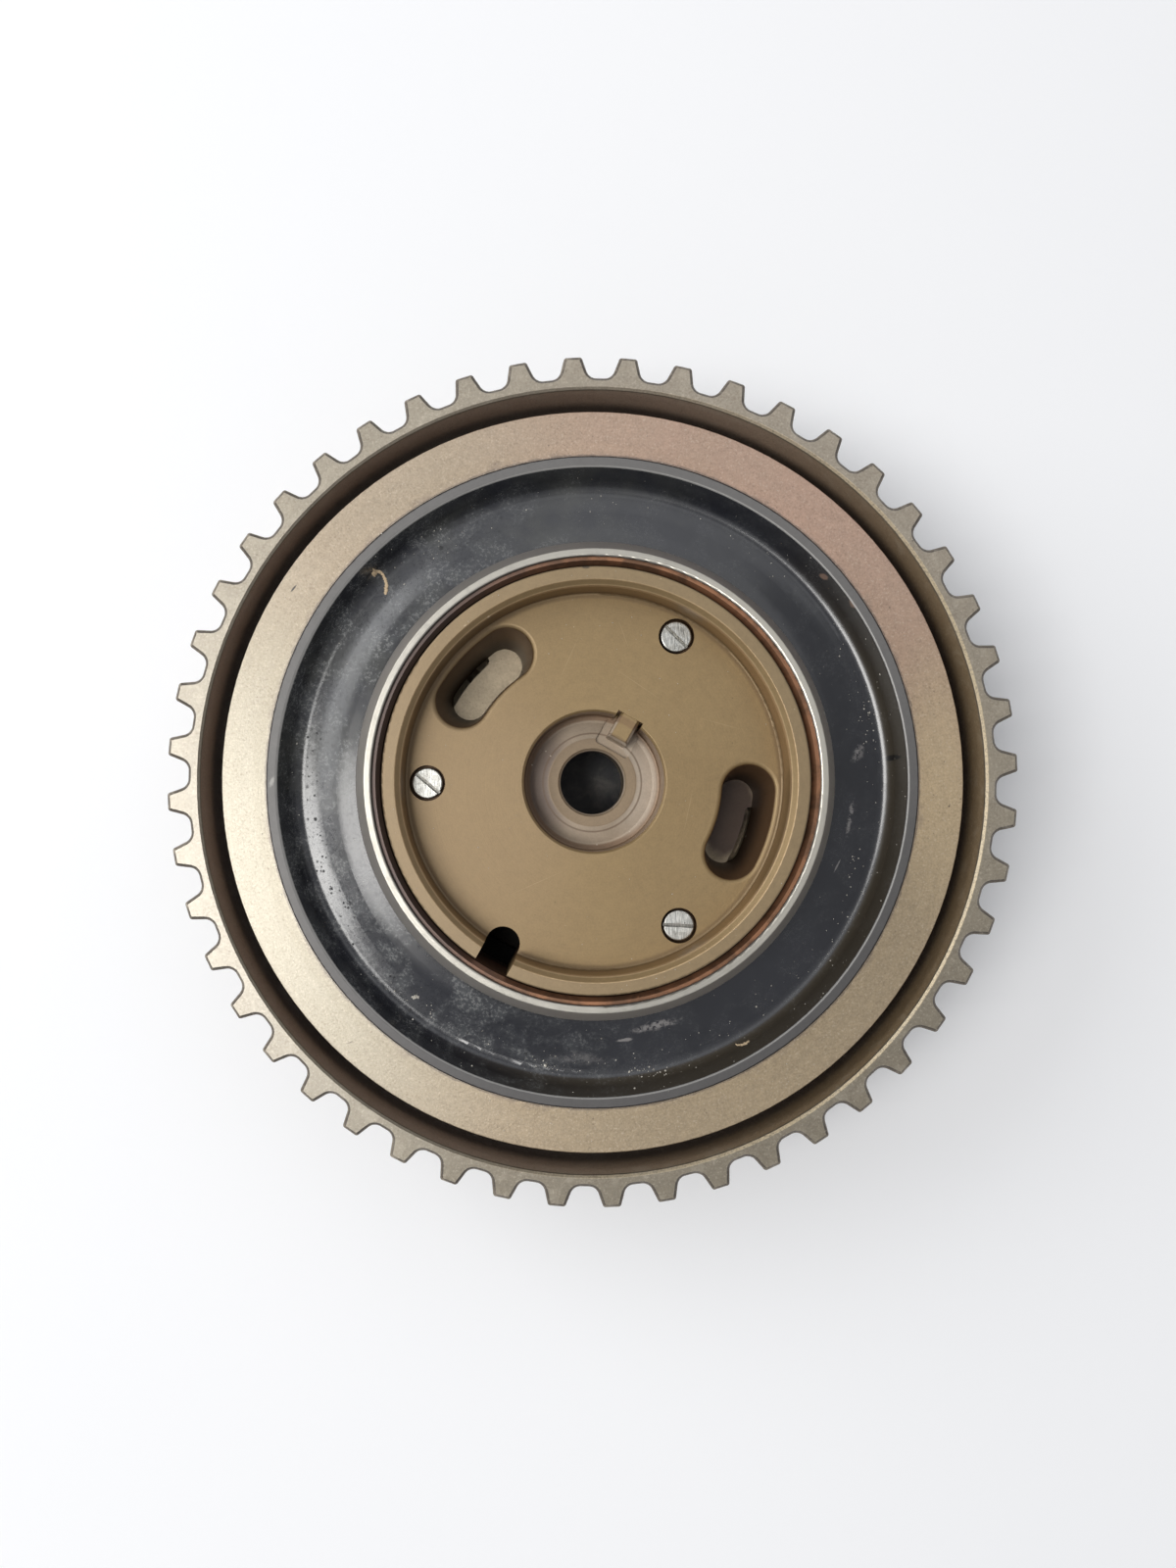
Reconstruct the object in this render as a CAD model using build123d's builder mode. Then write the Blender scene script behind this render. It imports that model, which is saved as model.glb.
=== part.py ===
from build123d import *
from math import asin, cos, degrees, pi, radians, sin, tan
import os

# Camshaft sprocket with a vane cam phaser inside. Sizes are millimetres and degrees.
# +Z points at the camshaft. The sprocket lies on its front cover, and the origin is on
# its axis in the plane that it rests on. Angles run counter-clockwise seen from +Z.

# Belt teeth
tooth_count = 48
belt_pitch = 8.0
belt_line_height = 0.69
tooth_depth = 3.0
gap_mouth = 5.46
gap_flank_angle = 20.5
gap_root_round = 1.5
tooth_tip_round = 0.45
tooth_edge_chamfer = 0.45
first_tooth_angle = 2.65

# Toothed rim and the ring groove behind it
rim_width = 25.0
rim_front_z = 8.0
rim_wall = 1.6
rim_edge_chamfer = 0.3
moat_width = 3.1
moat_depth = 13.5
moat_narrowing = 0.6
front_moat_depth = 5.0
plate_drop = 0.5

# Oil chambers
vane_count = 3
chamber_radius = 41.0
chamber_depth = 14.0
drum_front_z = 10.0
rotor_radius = 29.5
vane_span = 26.0
phase_travel = 25.0
stop_gap = 0.3
key_angle = 60.5
first_vane_angle = key_angle - 60.0

# Clearances between pieces
press_gap = 0.02
running_gap = 0.05
vane_gap = 0.10
axial_gap = 0.05
seat_gap = 0.10
boss_gap = 0.20

# Edge roundings used all over, and how far a cutter runs past an edge
edge_break = 0.15
small_round = 0.3
casting_round = 1.0
overcut = 1.0

# Rear cover: lip, channel and seal neck
cover_lip_radius = 46.4
cover_lip_width = 1.5
channel_wall_run = 1.6
channel_depth = 4.2
channel_mouth_round = 0.45
channel_foot_round = 2.0
floor_bend_radius = 40.0
floor_bend_rise = 0.6
floor_bend_round = 10.0
dome_radius = 36.3
dome_rise = 1.8
dome_round = 8.0
neck_foot_rise = 2.4
neck_foot_round = 1.3
neck_radius = 32.5
neck_bore_radius = 30.1
neck_height = 9.5
neck_lead_run = 1.4
neck_lead_rise = 2.1
neck_lead_round = 0.5
cover_ledge = 4.0

# Neck bush
bush_wall = 1.0
bush_length = 13.0
bush_lift = 0.9
bush_chamfer = 0.15
bush_mouth_chamfer = 0.55

# Hub disc
disc_floor_thickness = 9.2
disc_rim_height = 5.5
disc_rim_width = 1.75
disc_rim_relief = 0.3
disc_journal_height = 10.3
disc_rim_chamfer = 0.75
disc_wall_draft = 0.15
disc_floor_fillet = 0.3
recess_radius = 9.7
recess_depth = 6.0
recess_boss_radius = 6.2
recess_boss_height = 0.3
recess_slope_run = 2.4
recess_mouth_chamfer = 0.3
bolt_bore_radius = 4.55
bolt_bore_chamfer = 0.35
key_width = 2.9
key_length = 3.8
key_chamfer = 0.4
key_slot_gap = 0.5
key_drop = 0.3
key_overhang = 0.6
key_pocket_margin = 1.2
key_pocket_wall_gap = 0.6
key_pocket_depth = 0.3
key_pocket_round = 0.5
notch_width = 4.75
notch_reach = 23.3
kidney_angle = 76.0
kidney_radius = 21.15
kidney_half_span = 10.0
kidney_floor_width = 5.0
kidney_mouth_radius = 21.4
kidney_mouth_half_span = 12.0
kidney_mouth_width = 7.2
kidney_round = 0.65
kidney_round_steps = 5

# Hub screws
hub_screw_count = 3
hub_screw_circle = 23.07
hub_screw_shank_radius = 1.5
hub_screw_head_radius = 2.12
hub_screw_head_height = 1.9
hub_screw_sink = 0.3
hub_screw_thread_length = 8.0
screw_head_margin = 0.35
screw_slot_width = 0.5
screw_slot_depth = 0.7
screw_head_round = 0.2
screw_slot_angles = (-45.0, -40.0, -3.0)

# Rotor boss, bores and oil drillings
rotor_boss_radius = 26.5
rotor_boss_chamfer = 0.3
boss_slot_width = 1.6
boss_slot_depth = 6.0
boss_slot_start = 71.0
boss_slot_span = 29.0
bolt_head_radius = 10.5
bolt_head_depth = 7.0
rotor_bore_radius = 5.2
oil_drill_radius = 1.2
oil_drill_beside_vane = 3.5
oil_drill_advance_z = 19.2
oil_drill_retard_z = 21.6
hub_dowel_radius = 1.5
hub_dowel_length = 8.0
hub_dowel_circle = 17.0
dowel_chamfer = 0.25

# Seal bars and their leaf springs
seal_width = 2.4
seal_height = 2.1
seal_spring_height = 0.9
seal_spring_thickness = 0.2
seal_spring_width = 1.8
seal_spring_length = 11.6

# Lock pin
lock_pin_circle = 33.6
lock_pin_radius = 2.5
lock_pin_head_radius = 3.2
lock_pin_head_height = 2.0
lock_pin_bore_radius = 1.6
lock_pin_floor = 1.8
lock_pin_lift = 1.2
lock_pin_drop = 3.0
lock_pin_chamfer = 0.4
lock_pin_slack = 0.12
retainer_thickness = 1.5
retainer_vent_radius = 0.8
lock_spring_radius = 1.25
lock_spring_wire = 0.4
lock_spring_turns = 8
lock_seat_wall = 1.4
lock_seat_depth = 3.5
lock_groove_width = 1.4
lock_groove_depth = 0.8

# Front cover
front_cover_radius = 50.0
front_cover_thickness = 6.0
front_boss_radius = 23.0
front_boss_fillet = 1.5
front_edge_chamfer = 0.8
plug_thread_radius = 16.0
plug_head_radius = 18.9
plug_head_thickness = 2.4
plug_sink = 0.5
plug_length = 8.0
plug_socket_size = 14.0
plug_socket_depth = 5.0
plug_washer_thickness = 0.6
plug_washer_width = 2.3
plug_head_chamfer = 0.5
plug_end_chamfer = 0.8

# Cover bolts and dowels
cover_bolt_offset = 20.0
cover_bolt_circle = 35.5
cover_bolt_radius = 2.5
cover_bolt_clearance = 0.25
cover_bolt_head_radius = 4.25
cover_bolt_head_height = 3.2
cover_bolt_socket = 3.0
cover_bolt_socket_depth = 1.8
cover_bolt_bite = 4.2
cover_bolt_head_chamfer = 0.4
cover_bolt_end_chamfer = 0.5
cover_dowel_radius = 2.0
cover_dowel_length = 11.0

# Ring seals between body and covers
ring_seal_radius = 43.6
ring_seal_width = 2.0
ring_seal_height = 1.5
ring_seal_round = 0.45

# Levels and radii that follow from the sizes above
tip_radius = tooth_count * belt_pitch / (2 * pi) - belt_line_height
root_radius = tip_radius - tooth_depth
rim_inner_radius = root_radius - rim_wall
rim_rear_z = rim_front_z + rim_width
plate_radius = rim_inner_radius - moat_width
plate_z = rim_rear_z - plate_drop
moat_floor_z = plate_z - moat_depth
cover_seat_z = drum_front_z + chamber_depth
lip_z = plate_z
lip_inner_radius = cover_lip_radius - cover_lip_width
channel_z = lip_z - channel_depth
channel_radius = lip_inner_radius - channel_wall_run
neck_top_z = rim_rear_z + neck_height
ledge_z = cover_seat_z + cover_ledge
disc_base_z = ledge_z + seat_gap
disc_floor_z = disc_base_z + disc_floor_thickness
disc_rim_z = disc_floor_z + disc_rim_height
journal_top_z = disc_base_z + disc_journal_height
disc_journal_radius = neck_bore_radius - bush_wall - running_gap
disc_rim_radius = disc_journal_radius - disc_rim_relief
disc_rim_inner_radius = disc_rim_radius - disc_rim_width
disc_wall_top_radius = disc_rim_inner_radius - disc_rim_chamfer
recess_floor_z = disc_floor_z - recess_depth
boss_top_z = recess_floor_z + recess_boss_height
bush_base_z = ledge_z + bush_lift
rotor_front_z = drum_front_z + axial_gap
rotor_rear_z = cover_seat_z - axial_gap
rotor_height = rotor_rear_z - rotor_front_z
vane_radius = chamber_radius - vane_gap
lobe_radius = rotor_radius + vane_gap
front_flange_z = drum_front_z - front_cover_thickness
plug_counterbore_depth = plug_sink + plug_head_thickness + plug_washer_thickness
retainer_base_z = rotor_rear_z - retainer_thickness
pin_nose_z = rotor_front_z + seat_gap
pin_top_z = retainer_base_z - lock_pin_lift - seat_gap
lock_pin_length = pin_top_z - pin_nose_z
pin_step_z = pin_top_z - lock_pin_head_height - lock_pin_drop
neck_foot_z = channel_z + neck_foot_rise
cover_inner_radius = rotor_boss_radius + boss_gap
vane_pitch = 360.0 / vane_count
vane_angles = [first_vane_angle + vane_pitch * k for k in range(vane_count)]
chamber_span = vane_span + phase_travel + 2 * stop_gap
lobe_angles = [angle + phase_travel / 2 + vane_pitch / 2 for angle in vane_angles]
bolt_angles = [lobe + side * cover_bolt_offset for lobe in lobe_angles for side in (-1, 1)]
screw_angles = [key_angle + 360.0 / hub_screw_count * k for k in range(hub_screw_count)]
lobe_slot_radius = lobe_radius + seal_height + seal_spring_height
vane_slot_radius = vane_radius - seal_height - seal_spring_height
cover_dowel_circle = (lobe_slot_radius + chamber_radius) / 2
above = 60.0


def on_circle(radius, angle):
    """The point at a radius and an angle from the axis."""
    return (radius * cos(radians(angle)), radius * sin(radians(angle)))


def turned_face(corners):
    """Half section of a turned piece, from (radius, height, corner rounding) triples."""
    with BuildSketch(Plane.XZ, mode=Mode.PRIVATE) as section:
        with BuildLine():
            points = [(radius, height) for radius, height, rounding in corners]
            roundings = [rounding for radius, height, rounding in corners]
            FilletPolyline(*points, radius=roundings, close=True)
        make_face()
    return section.sketch


def ring_sector(inner, outer, start, span):
    """Flat sector of a ring, from the angle start over span degrees."""
    with BuildSketch(mode=Mode.PRIVATE) as sector:
        with BuildLine():
            near = CenterArc((0, 0), inner, start, span)
            far = CenterArc((0, 0), outer, start, span)
            Line(near @ 0, far @ 0)
            Line(near @ 1, far @ 1)
        make_face()
    return sector.sketch


def arc_slot(radius, centre_angle, half_span, width):
    """Flat slot with round ends whose centre line follows a circle about the axis."""
    with BuildSketch(mode=Mode.PRIVATE) as slot:
        SlotArc(CenterArc((0, 0), radius, centre_angle - half_span, 2 * half_span), width)
    return slot.sketch


def finish(piece, name):
    """Labels a finished piece and writes its file."""
    piece.part.label = name
    export_step(piece.part, f"parts/{name}.step")


os.makedirs("parts", exist_ok=True)

# Cutter for one gap between two belt teeth, on the X axis, flared at both ends
mouth_angle = asin(gap_mouth / 2 / tip_radius)
mouth_x = tip_radius * cos(mouth_angle)
half_mouth = gap_mouth / 2
half_floor = half_mouth - tooth_depth * tan(radians(gap_flank_angle))
land = tooth_tip_round * 2
land_corner = (mouth_x - land * sin(mouth_angle), half_mouth + land * cos(mouth_angle))
outside = tip_radius + tooth_depth
with BuildPart() as gap_cutter:
    with BuildSketch(Plane.XY.offset(rim_front_z + tooth_edge_chamfer)) as gap_outline:
        with BuildLine():
            FilletPolyline(
                (root_radius, -half_floor),
                (root_radius, half_floor),
                (mouth_x, half_mouth),
                land_corner,
                (outside, land_corner[1]),
                (outside, -land_corner[1]),
                (land_corner[0], -land_corner[1]),
                (mouth_x, -half_mouth),
                radius=[gap_root_round, gap_root_round, tooth_tip_round, 0, 0, 0, 0, tooth_tip_round],
                close=True,
            )
        make_face()
    extrude(amount=rim_width - 2 * tooth_edge_chamfer)
    end_faces = faces().filter_by(Axis.Z)
    extrude(end_faces, amount=tooth_edge_chamfer, taper=-45)

# Sprocket body: toothed rim, web and chamber drum in one casting
with BuildPart() as sprocket_body:
    revolve(turned_face([
        (lobe_radius, drum_front_z, 0),
        (plate_radius - moat_narrowing, drum_front_z, small_round),
        (plate_radius - moat_narrowing, rim_front_z + front_moat_depth, casting_round),
        (rim_inner_radius - moat_narrowing, rim_front_z + front_moat_depth, casting_round),
        (rim_inner_radius, rim_front_z, small_round),
        (tip_radius - tooth_edge_chamfer, rim_front_z, 0),
        (tip_radius, rim_front_z + tooth_edge_chamfer, 0),
        (tip_radius, rim_rear_z - tooth_edge_chamfer, 0),
        (tip_radius - tooth_edge_chamfer, rim_rear_z, 0),
        (rim_inner_radius + rim_edge_chamfer, rim_rear_z, 0),
        (rim_inner_radius, rim_rear_z - rim_edge_chamfer, 0),
        (rim_inner_radius - moat_narrowing, moat_floor_z, casting_round),
        (plate_radius, moat_floor_z, casting_round),
        (plate_radius, plate_z, edge_break),
        (cover_lip_radius + press_gap, plate_z, 0),
        (cover_lip_radius + press_gap, cover_seat_z, 0),
        (lobe_radius, cover_seat_z, 0),
    ]), axis=Axis.Z)

    # Oil chambers and the seal slots in the lobes between them
    with BuildSketch(Plane.XY.offset(drum_front_z)):
        for angle in vane_angles:
            chamber_start = angle - vane_span / 2 - stop_gap
            add(ring_sector(lobe_radius - overcut, chamber_radius, chamber_start, chamber_span))
        for angle in lobe_angles:
            with Locations(on_circle((lobe_radius - overcut + lobe_slot_radius) / 2, angle)):
                Rectangle(lobe_slot_radius - lobe_radius + overcut, seal_width, rotation=angle)
    extrude(amount=chamber_depth, mode=Mode.SUBTRACT)

    # Grooves for the two ring seals
    for groove_z in (drum_front_z, cover_seat_z - ring_seal_height):
        with BuildSketch(Plane.XY.offset(groove_z)):
            Circle(ring_seal_radius + ring_seal_width / 2)
            Circle(ring_seal_radius - ring_seal_width / 2, mode=Mode.SUBTRACT)
        extrude(amount=ring_seal_height, mode=Mode.SUBTRACT)

    # Bolt holes through the lobes and blind dowel holes in two of them
    with BuildSketch(Plane.XY.offset(drum_front_z)):
        with Locations(*[on_circle(cover_bolt_circle, angle) for angle in bolt_angles]):
            Circle(cover_bolt_radius + cover_bolt_clearance)
    extrude(amount=chamber_depth, mode=Mode.SUBTRACT)
    with BuildSketch(Plane.XY.offset(drum_front_z)):
        with Locations(*[on_circle(cover_dowel_circle, angle) for angle in lobe_angles[:2]]):
            Circle(cover_dowel_radius + press_gap)
    extrude(amount=cover_dowel_length / 2, mode=Mode.SUBTRACT)

    # The gaps between the belt teeth
    half_pitch = 180.0 / tooth_count
    with PolarLocations(0, tooth_count, start_angle=first_tooth_angle + half_pitch):
        add(gap_cutter.part, mode=Mode.SUBTRACT)
finish(sprocket_body, "sprocket_body")

# Rear cover: flat lip, ring channel with a domed inner side, and the seal neck
with BuildPart() as rear_cover:
    cover_section = turned_face([
        (cover_inner_radius, cover_seat_z, edge_break),
        (cover_lip_radius, cover_seat_z, small_round),
        (cover_lip_radius, lip_z, edge_break),
        (lip_inner_radius, lip_z, channel_mouth_round),
        (channel_radius, channel_z, channel_foot_round),
        (floor_bend_radius, channel_z + floor_bend_rise, floor_bend_round),
        (dome_radius, channel_z + dome_rise, dome_round),
        (neck_radius, neck_foot_z, neck_foot_round),
        (neck_radius, neck_top_z - neck_lead_rise, neck_lead_round),
        (neck_radius - neck_lead_run, neck_top_z, edge_break),
        (neck_bore_radius, neck_top_z, small_round),
        (neck_bore_radius, ledge_z, 0),
        (cover_inner_radius, ledge_z, small_round),
    ])
    revolve(cover_section, axis=Axis.Z)
    with BuildSketch(Plane.XY.offset(cover_seat_z)):
        with Locations(*[on_circle(cover_bolt_circle, angle) for angle in bolt_angles]):
            Circle(cover_bolt_radius + press_gap)
    extrude(amount=cover_bolt_bite + seat_gap, mode=Mode.SUBTRACT)
finish(rear_cover, "rear_cover")

# Bronze bush in the neck, which the hub disc turns in
with BuildPart() as neck_bush:
    with BuildSketch(Plane.XY.offset(bush_base_z)):
        Circle(neck_bore_radius - press_gap)
        Circle(neck_bore_radius - bush_wall, mode=Mode.SUBTRACT)
    extrude(amount=bush_length)
    chamfer(edges().filter_by(GeomType.CIRCLE).group_by(Axis.Z)[0], length=bush_chamfer)
    mouth_edge = edges().filter_by(GeomType.CIRCLE).group_by(Axis.Z)[-1].sort_by(SortBy.RADIUS)[0]
    chamfer(mouth_edge, length=bush_mouth_chamfer)
finish(neck_bush, "neck_bush")

# Ring seals, squeezed flat between the body and each cover
for seal_name, seal_z in (
    ("front_cover_seal", drum_front_z),
    ("rear_cover_seal", cover_seat_z - ring_seal_height),
):
    with BuildPart() as ring_seal:
        inner = ring_seal_radius - ring_seal_width / 2 + press_gap
        outer = ring_seal_radius + ring_seal_width / 2 - press_gap
        revolve(turned_face([
            (inner, seal_z, ring_seal_round),
            (outer, seal_z, ring_seal_round),
            (outer, seal_z + ring_seal_height, ring_seal_round),
            (inner, seal_z + ring_seal_height, ring_seal_round),
        ]), axis=Axis.Z)
    finish(ring_seal, seal_name)

# Rotor: hub, three vanes and the boss that carries the hub disc
with BuildPart() as rotor:
    with BuildSketch(Plane.XY.offset(rotor_front_z)):
        Circle(rotor_radius)
        for angle in vane_angles:
            add(ring_sector(rotor_radius - overcut, vane_radius, angle - vane_span / 2, vane_span))
        for angle in vane_angles:
            with Locations(on_circle((vane_slot_radius + vane_radius + overcut) / 2, angle)):
                slot_depth = vane_radius + overcut - vane_slot_radius
                Rectangle(slot_depth, seal_width, rotation=angle, mode=Mode.SUBTRACT)
    extrude(amount=rotor_height)
    with BuildSketch(Plane.XY.offset(rotor_rear_z)):
        Circle(rotor_boss_radius)
    extrude(amount=disc_base_z - rotor_rear_z)
    chamfer(edges().group_by(Axis.Z)[-1], length=rotor_boss_chamfer)

    # Bore for the camshaft bolt with a seat for its head
    with BuildSketch(Plane.XY.offset(rotor_front_z)):
        Circle(rotor_bore_radius)
    extrude(amount=disc_base_z - rotor_front_z, mode=Mode.SUBTRACT)
    with BuildSketch(Plane.XY.offset(rotor_front_z)):
        Circle(bolt_head_radius)
    extrude(amount=bolt_head_depth, mode=Mode.SUBTRACT)

    # Threaded holes for the hub screws, and the dowel hole
    with BuildSketch(Plane.XY.offset(disc_base_z)):
        with Locations(*[on_circle(hub_screw_circle, angle) for angle in screw_angles]):
            Circle(hub_screw_shank_radius + press_gap)
    extrude(amount=-(hub_screw_thread_length + seat_gap), mode=Mode.SUBTRACT)
    with BuildSketch(Plane.XY.offset(disc_base_z)):
        with Locations(on_circle(hub_dowel_circle, key_angle + 180)):
            Circle(hub_dowel_radius + press_gap)
    extrude(amount=-hub_dowel_length / 2, mode=Mode.SUBTRACT)

    # Arc slots in the boss, which show as black slits in the kidney slots
    slot_middle = boss_slot_start + boss_slot_span / 2
    slot_outer = kidney_radius + kidney_floor_width / 2 + boss_slot_width / 2
    slot_inner = slot_outer - boss_slot_width
    with BuildSketch(Plane.XY.offset(disc_base_z)):
        for side in (-1, 1):
            slot_angle = key_angle + side * slot_middle
            slot_half_span = boss_slot_span / 2
            add(arc_slot((slot_inner + slot_outer) / 2, slot_angle, slot_half_span, boss_slot_width))
    extrude(amount=-boss_slot_depth, mode=Mode.SUBTRACT)

    # Stepped bore for the lock pin through the first vane
    with BuildSketch(Plane.XY.offset(rotor_front_z)):
        with Locations(on_circle(lock_pin_circle, first_vane_angle)):
            Circle(lock_pin_radius + running_gap)
    extrude(amount=rotor_height, mode=Mode.SUBTRACT)
    with BuildSketch(Plane.XY.offset(pin_step_z)):
        with Locations(on_circle(lock_pin_circle, first_vane_angle)):
            Circle(lock_pin_head_radius + running_gap)
    extrude(amount=rotor_rear_z - pin_step_z, mode=Mode.SUBTRACT)

    # Radial oil drillings from the bore to each side of each vane
    for drill_z, side in ((oil_drill_advance_z, -1), (oil_drill_retard_z, 1)):
        for angle in vane_angles:
            drill_angle = angle + side * (vane_span / 2 + oil_drill_beside_vane)
            drill_plane = Plane(origin=(0, 0, drill_z), z_dir=(*on_circle(1, drill_angle), 0))
            with BuildSketch(drill_plane):
                Circle(oil_drill_radius)
            extrude(amount=rotor_radius + overcut, mode=Mode.SUBTRACT)
finish(rotor, "rotor")

# Hub disc: floor with raised rim, camshaft recess, drive key, kidney slots and notch
with BuildPart() as hub_disc:
    disc_section = turned_face([
        (bolt_bore_radius, disc_base_z, 0),
        (disc_journal_radius, disc_base_z, small_round),
        (disc_journal_radius, journal_top_z, 0),
        (disc_rim_radius, journal_top_z + disc_rim_relief, 0),
        (disc_rim_radius, disc_rim_z, small_round),
        (disc_rim_inner_radius, disc_rim_z, edge_break),
        (disc_wall_top_radius, disc_rim_z - disc_rim_chamfer, edge_break),
        (disc_wall_top_radius - disc_wall_draft, disc_floor_z, disc_floor_fillet),
        (recess_radius + recess_mouth_chamfer, disc_floor_z, edge_break),
        (recess_radius, disc_floor_z - recess_mouth_chamfer, 0),
        (recess_radius, recess_floor_z, small_round),
        (recess_boss_radius + recess_slope_run, recess_floor_z, edge_break),
        (recess_boss_radius, boss_top_z, edge_break),
        (bolt_bore_radius + bolt_bore_chamfer, boss_top_z, 0),
        (bolt_bore_radius, boss_top_z - bolt_bore_chamfer, 0),
    ])
    revolve(disc_section, axis=Axis.Z)

    # Two kidney slots, wider at the mouth, whose edge is rounded in small steps
    for side in (-1, 1):
        slot_angle = key_angle + side * kidney_angle
        narrow = arc_slot(kidney_radius, slot_angle, kidney_half_span, kidney_floor_width)
        with BuildSketch(Plane.XY.offset(disc_base_z)):
            add(narrow)
        for step in range(kidney_round_steps + 1):
            turn = radians(90 * step / kidney_round_steps)
            step_width = kidney_mouth_width + 2 * kidney_round * (1 - cos(turn))
            step_z = disc_floor_z - kidney_round * (1 - sin(turn))
            wide = arc_slot(kidney_mouth_radius, slot_angle, kidney_mouth_half_span, step_width)
            with BuildSketch(Plane.XY.offset(step_z)):
                add(wide)
        loft(ruled=True, mode=Mode.SUBTRACT)

    # Pocket in the recess floor and slot in its wall, with the drive key standing in them
    key_plane = Plane(origin=(0, 0, recess_floor_z - key_pocket_depth), z_dir=(0, 0, 1))
    key_outer = recess_radius + key_overhang
    key_inner = key_outer - key_length
    key_middle = on_circle((key_inner + key_outer) / 2, key_angle)
    pocket_inner = key_inner - key_pocket_margin
    pocket_outer = recess_radius - key_pocket_wall_gap
    pocket_length = pocket_outer - pocket_inner
    pocket_width = key_width + 2 * key_pocket_margin
    with BuildSketch(key_plane):
        with Locations(on_circle((pocket_inner + pocket_outer) / 2, key_angle)):
            RectangleRounded(pocket_length, pocket_width, key_pocket_round, rotation=key_angle)
        with Locations(key_middle):
            Rectangle(key_length, key_width + 2 * key_slot_gap, rotation=key_angle)
    extrude(amount=recess_depth + key_pocket_depth, mode=Mode.SUBTRACT)
    with BuildSketch(key_plane):
        with Locations(key_middle):
            Rectangle(key_length, key_width, rotation=key_angle)
    extrude(amount=recess_depth + key_pocket_depth - key_drop)
    key_edges = edges(Select.LAST).group_by(Axis.Z)[-1]
    free_edges = sorted(key_edges, key=lambda edge: edge.center().length)[:3]
    chamfer(free_edges, length=key_chamfer)

    # Notch through the rim and floor, on the far side from the key
    with BuildSketch(Plane.XY.offset(disc_base_z)):
        notch_angle = key_angle + 180
        notch_end = notch_reach + notch_width / 2
        notch_length = disc_journal_radius + overcut - notch_end
        with Locations(on_circle(notch_end, notch_angle)):
            Circle(notch_width / 2)
        with Locations(on_circle(notch_end + notch_length / 2, notch_angle)):
            Rectangle(notch_length, notch_width, rotation=notch_angle)
    extrude(amount=above, mode=Mode.SUBTRACT)

    # Counterbored holes for the hub screws, and the dowel hole
    with Locations(*[(*on_circle(hub_screw_circle, angle), disc_floor_z) for angle in screw_angles]):
        CounterBoreHole(
            radius=hub_screw_shank_radius + seat_gap,
            counter_bore_radius=hub_screw_head_radius + screw_head_margin,
            counter_bore_depth=hub_screw_sink + hub_screw_head_height,
            depth=disc_floor_thickness,
        )
    with BuildSketch(Plane.XY.offset(disc_base_z)):
        with Locations(on_circle(hub_dowel_circle, key_angle + 180)):
            Circle(hub_dowel_radius + press_gap)
    extrude(amount=hub_dowel_length / 2, mode=Mode.SUBTRACT)
finish(hub_disc, "hub_disc")

# Slotted hub screws, each with its own slot direction
for number, (angle, slot_angle) in enumerate(zip(screw_angles, screw_slot_angles), start=1):
    head_top_z = disc_floor_z - hub_screw_sink
    head_base_z = head_top_z - hub_screw_head_height
    centre = on_circle(hub_screw_circle, angle)
    with BuildPart() as hub_screw:
        with BuildSketch(Plane.XY.offset(disc_base_z - hub_screw_thread_length)):
            with Locations(centre):
                Circle(hub_screw_shank_radius)
        extrude(amount=head_base_z - disc_base_z + hub_screw_thread_length)
        chamfer(edges().group_by(Axis.Z)[0], length=small_round)
        with BuildSketch(Plane.XY.offset(head_base_z)):
            with Locations(centre):
                Circle(hub_screw_head_radius)
        extrude(amount=hub_screw_head_height)
        fillet(edges().group_by(Axis.Z)[-1], radius=screw_head_round)
        with BuildSketch(Plane.XY.offset(head_top_z)):
            with Locations(centre):
                Rectangle(hub_screw_head_radius * 3, screw_slot_width, rotation=slot_angle)
        extrude(amount=-screw_slot_depth, mode=Mode.SUBTRACT)
    finish(hub_screw, f"hub_screw_{number}")

# Dowel between rotor and hub disc
with BuildPart() as hub_dowel:
    with BuildSketch(Plane.XY.offset(disc_base_z - hub_dowel_length / 2)):
        with Locations(on_circle(hub_dowel_circle, key_angle + 180)):
            Circle(hub_dowel_radius)
    extrude(amount=hub_dowel_length)
    chamfer(edges().filter_by(GeomType.CIRCLE), length=dowel_chamfer)
finish(hub_dowel, "hub_dowel")


def seal_bar(angle, foot_radius, face_radius):
    """Seal bar in a slot along the axis, its rubbing face rounded to face_radius."""
    with BuildPart() as bar:
        with BuildSketch(Plane.XY.offset(rotor_front_z + axial_gap)):
            half_angle = degrees((seal_width / 2 - press_gap) / face_radius)
            with BuildLine():
                face_arc = CenterArc((0, 0), face_radius, angle - half_angle, 2 * half_angle)
                across = seal_width / 2 - press_gap
                side = (-sin(radians(angle)) * across, cos(radians(angle)) * across)
                foot = on_circle(foot_radius, angle)
                left = (foot[0] + side[0], foot[1] + side[1])
                right = (foot[0] - side[0], foot[1] - side[1])
                Line(face_arc @ 1, left)
                Line(left, right)
                Line(right, face_arc @ 0)
            make_face()
        extrude(amount=rotor_height - 2 * axial_gap)
    return bar


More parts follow.
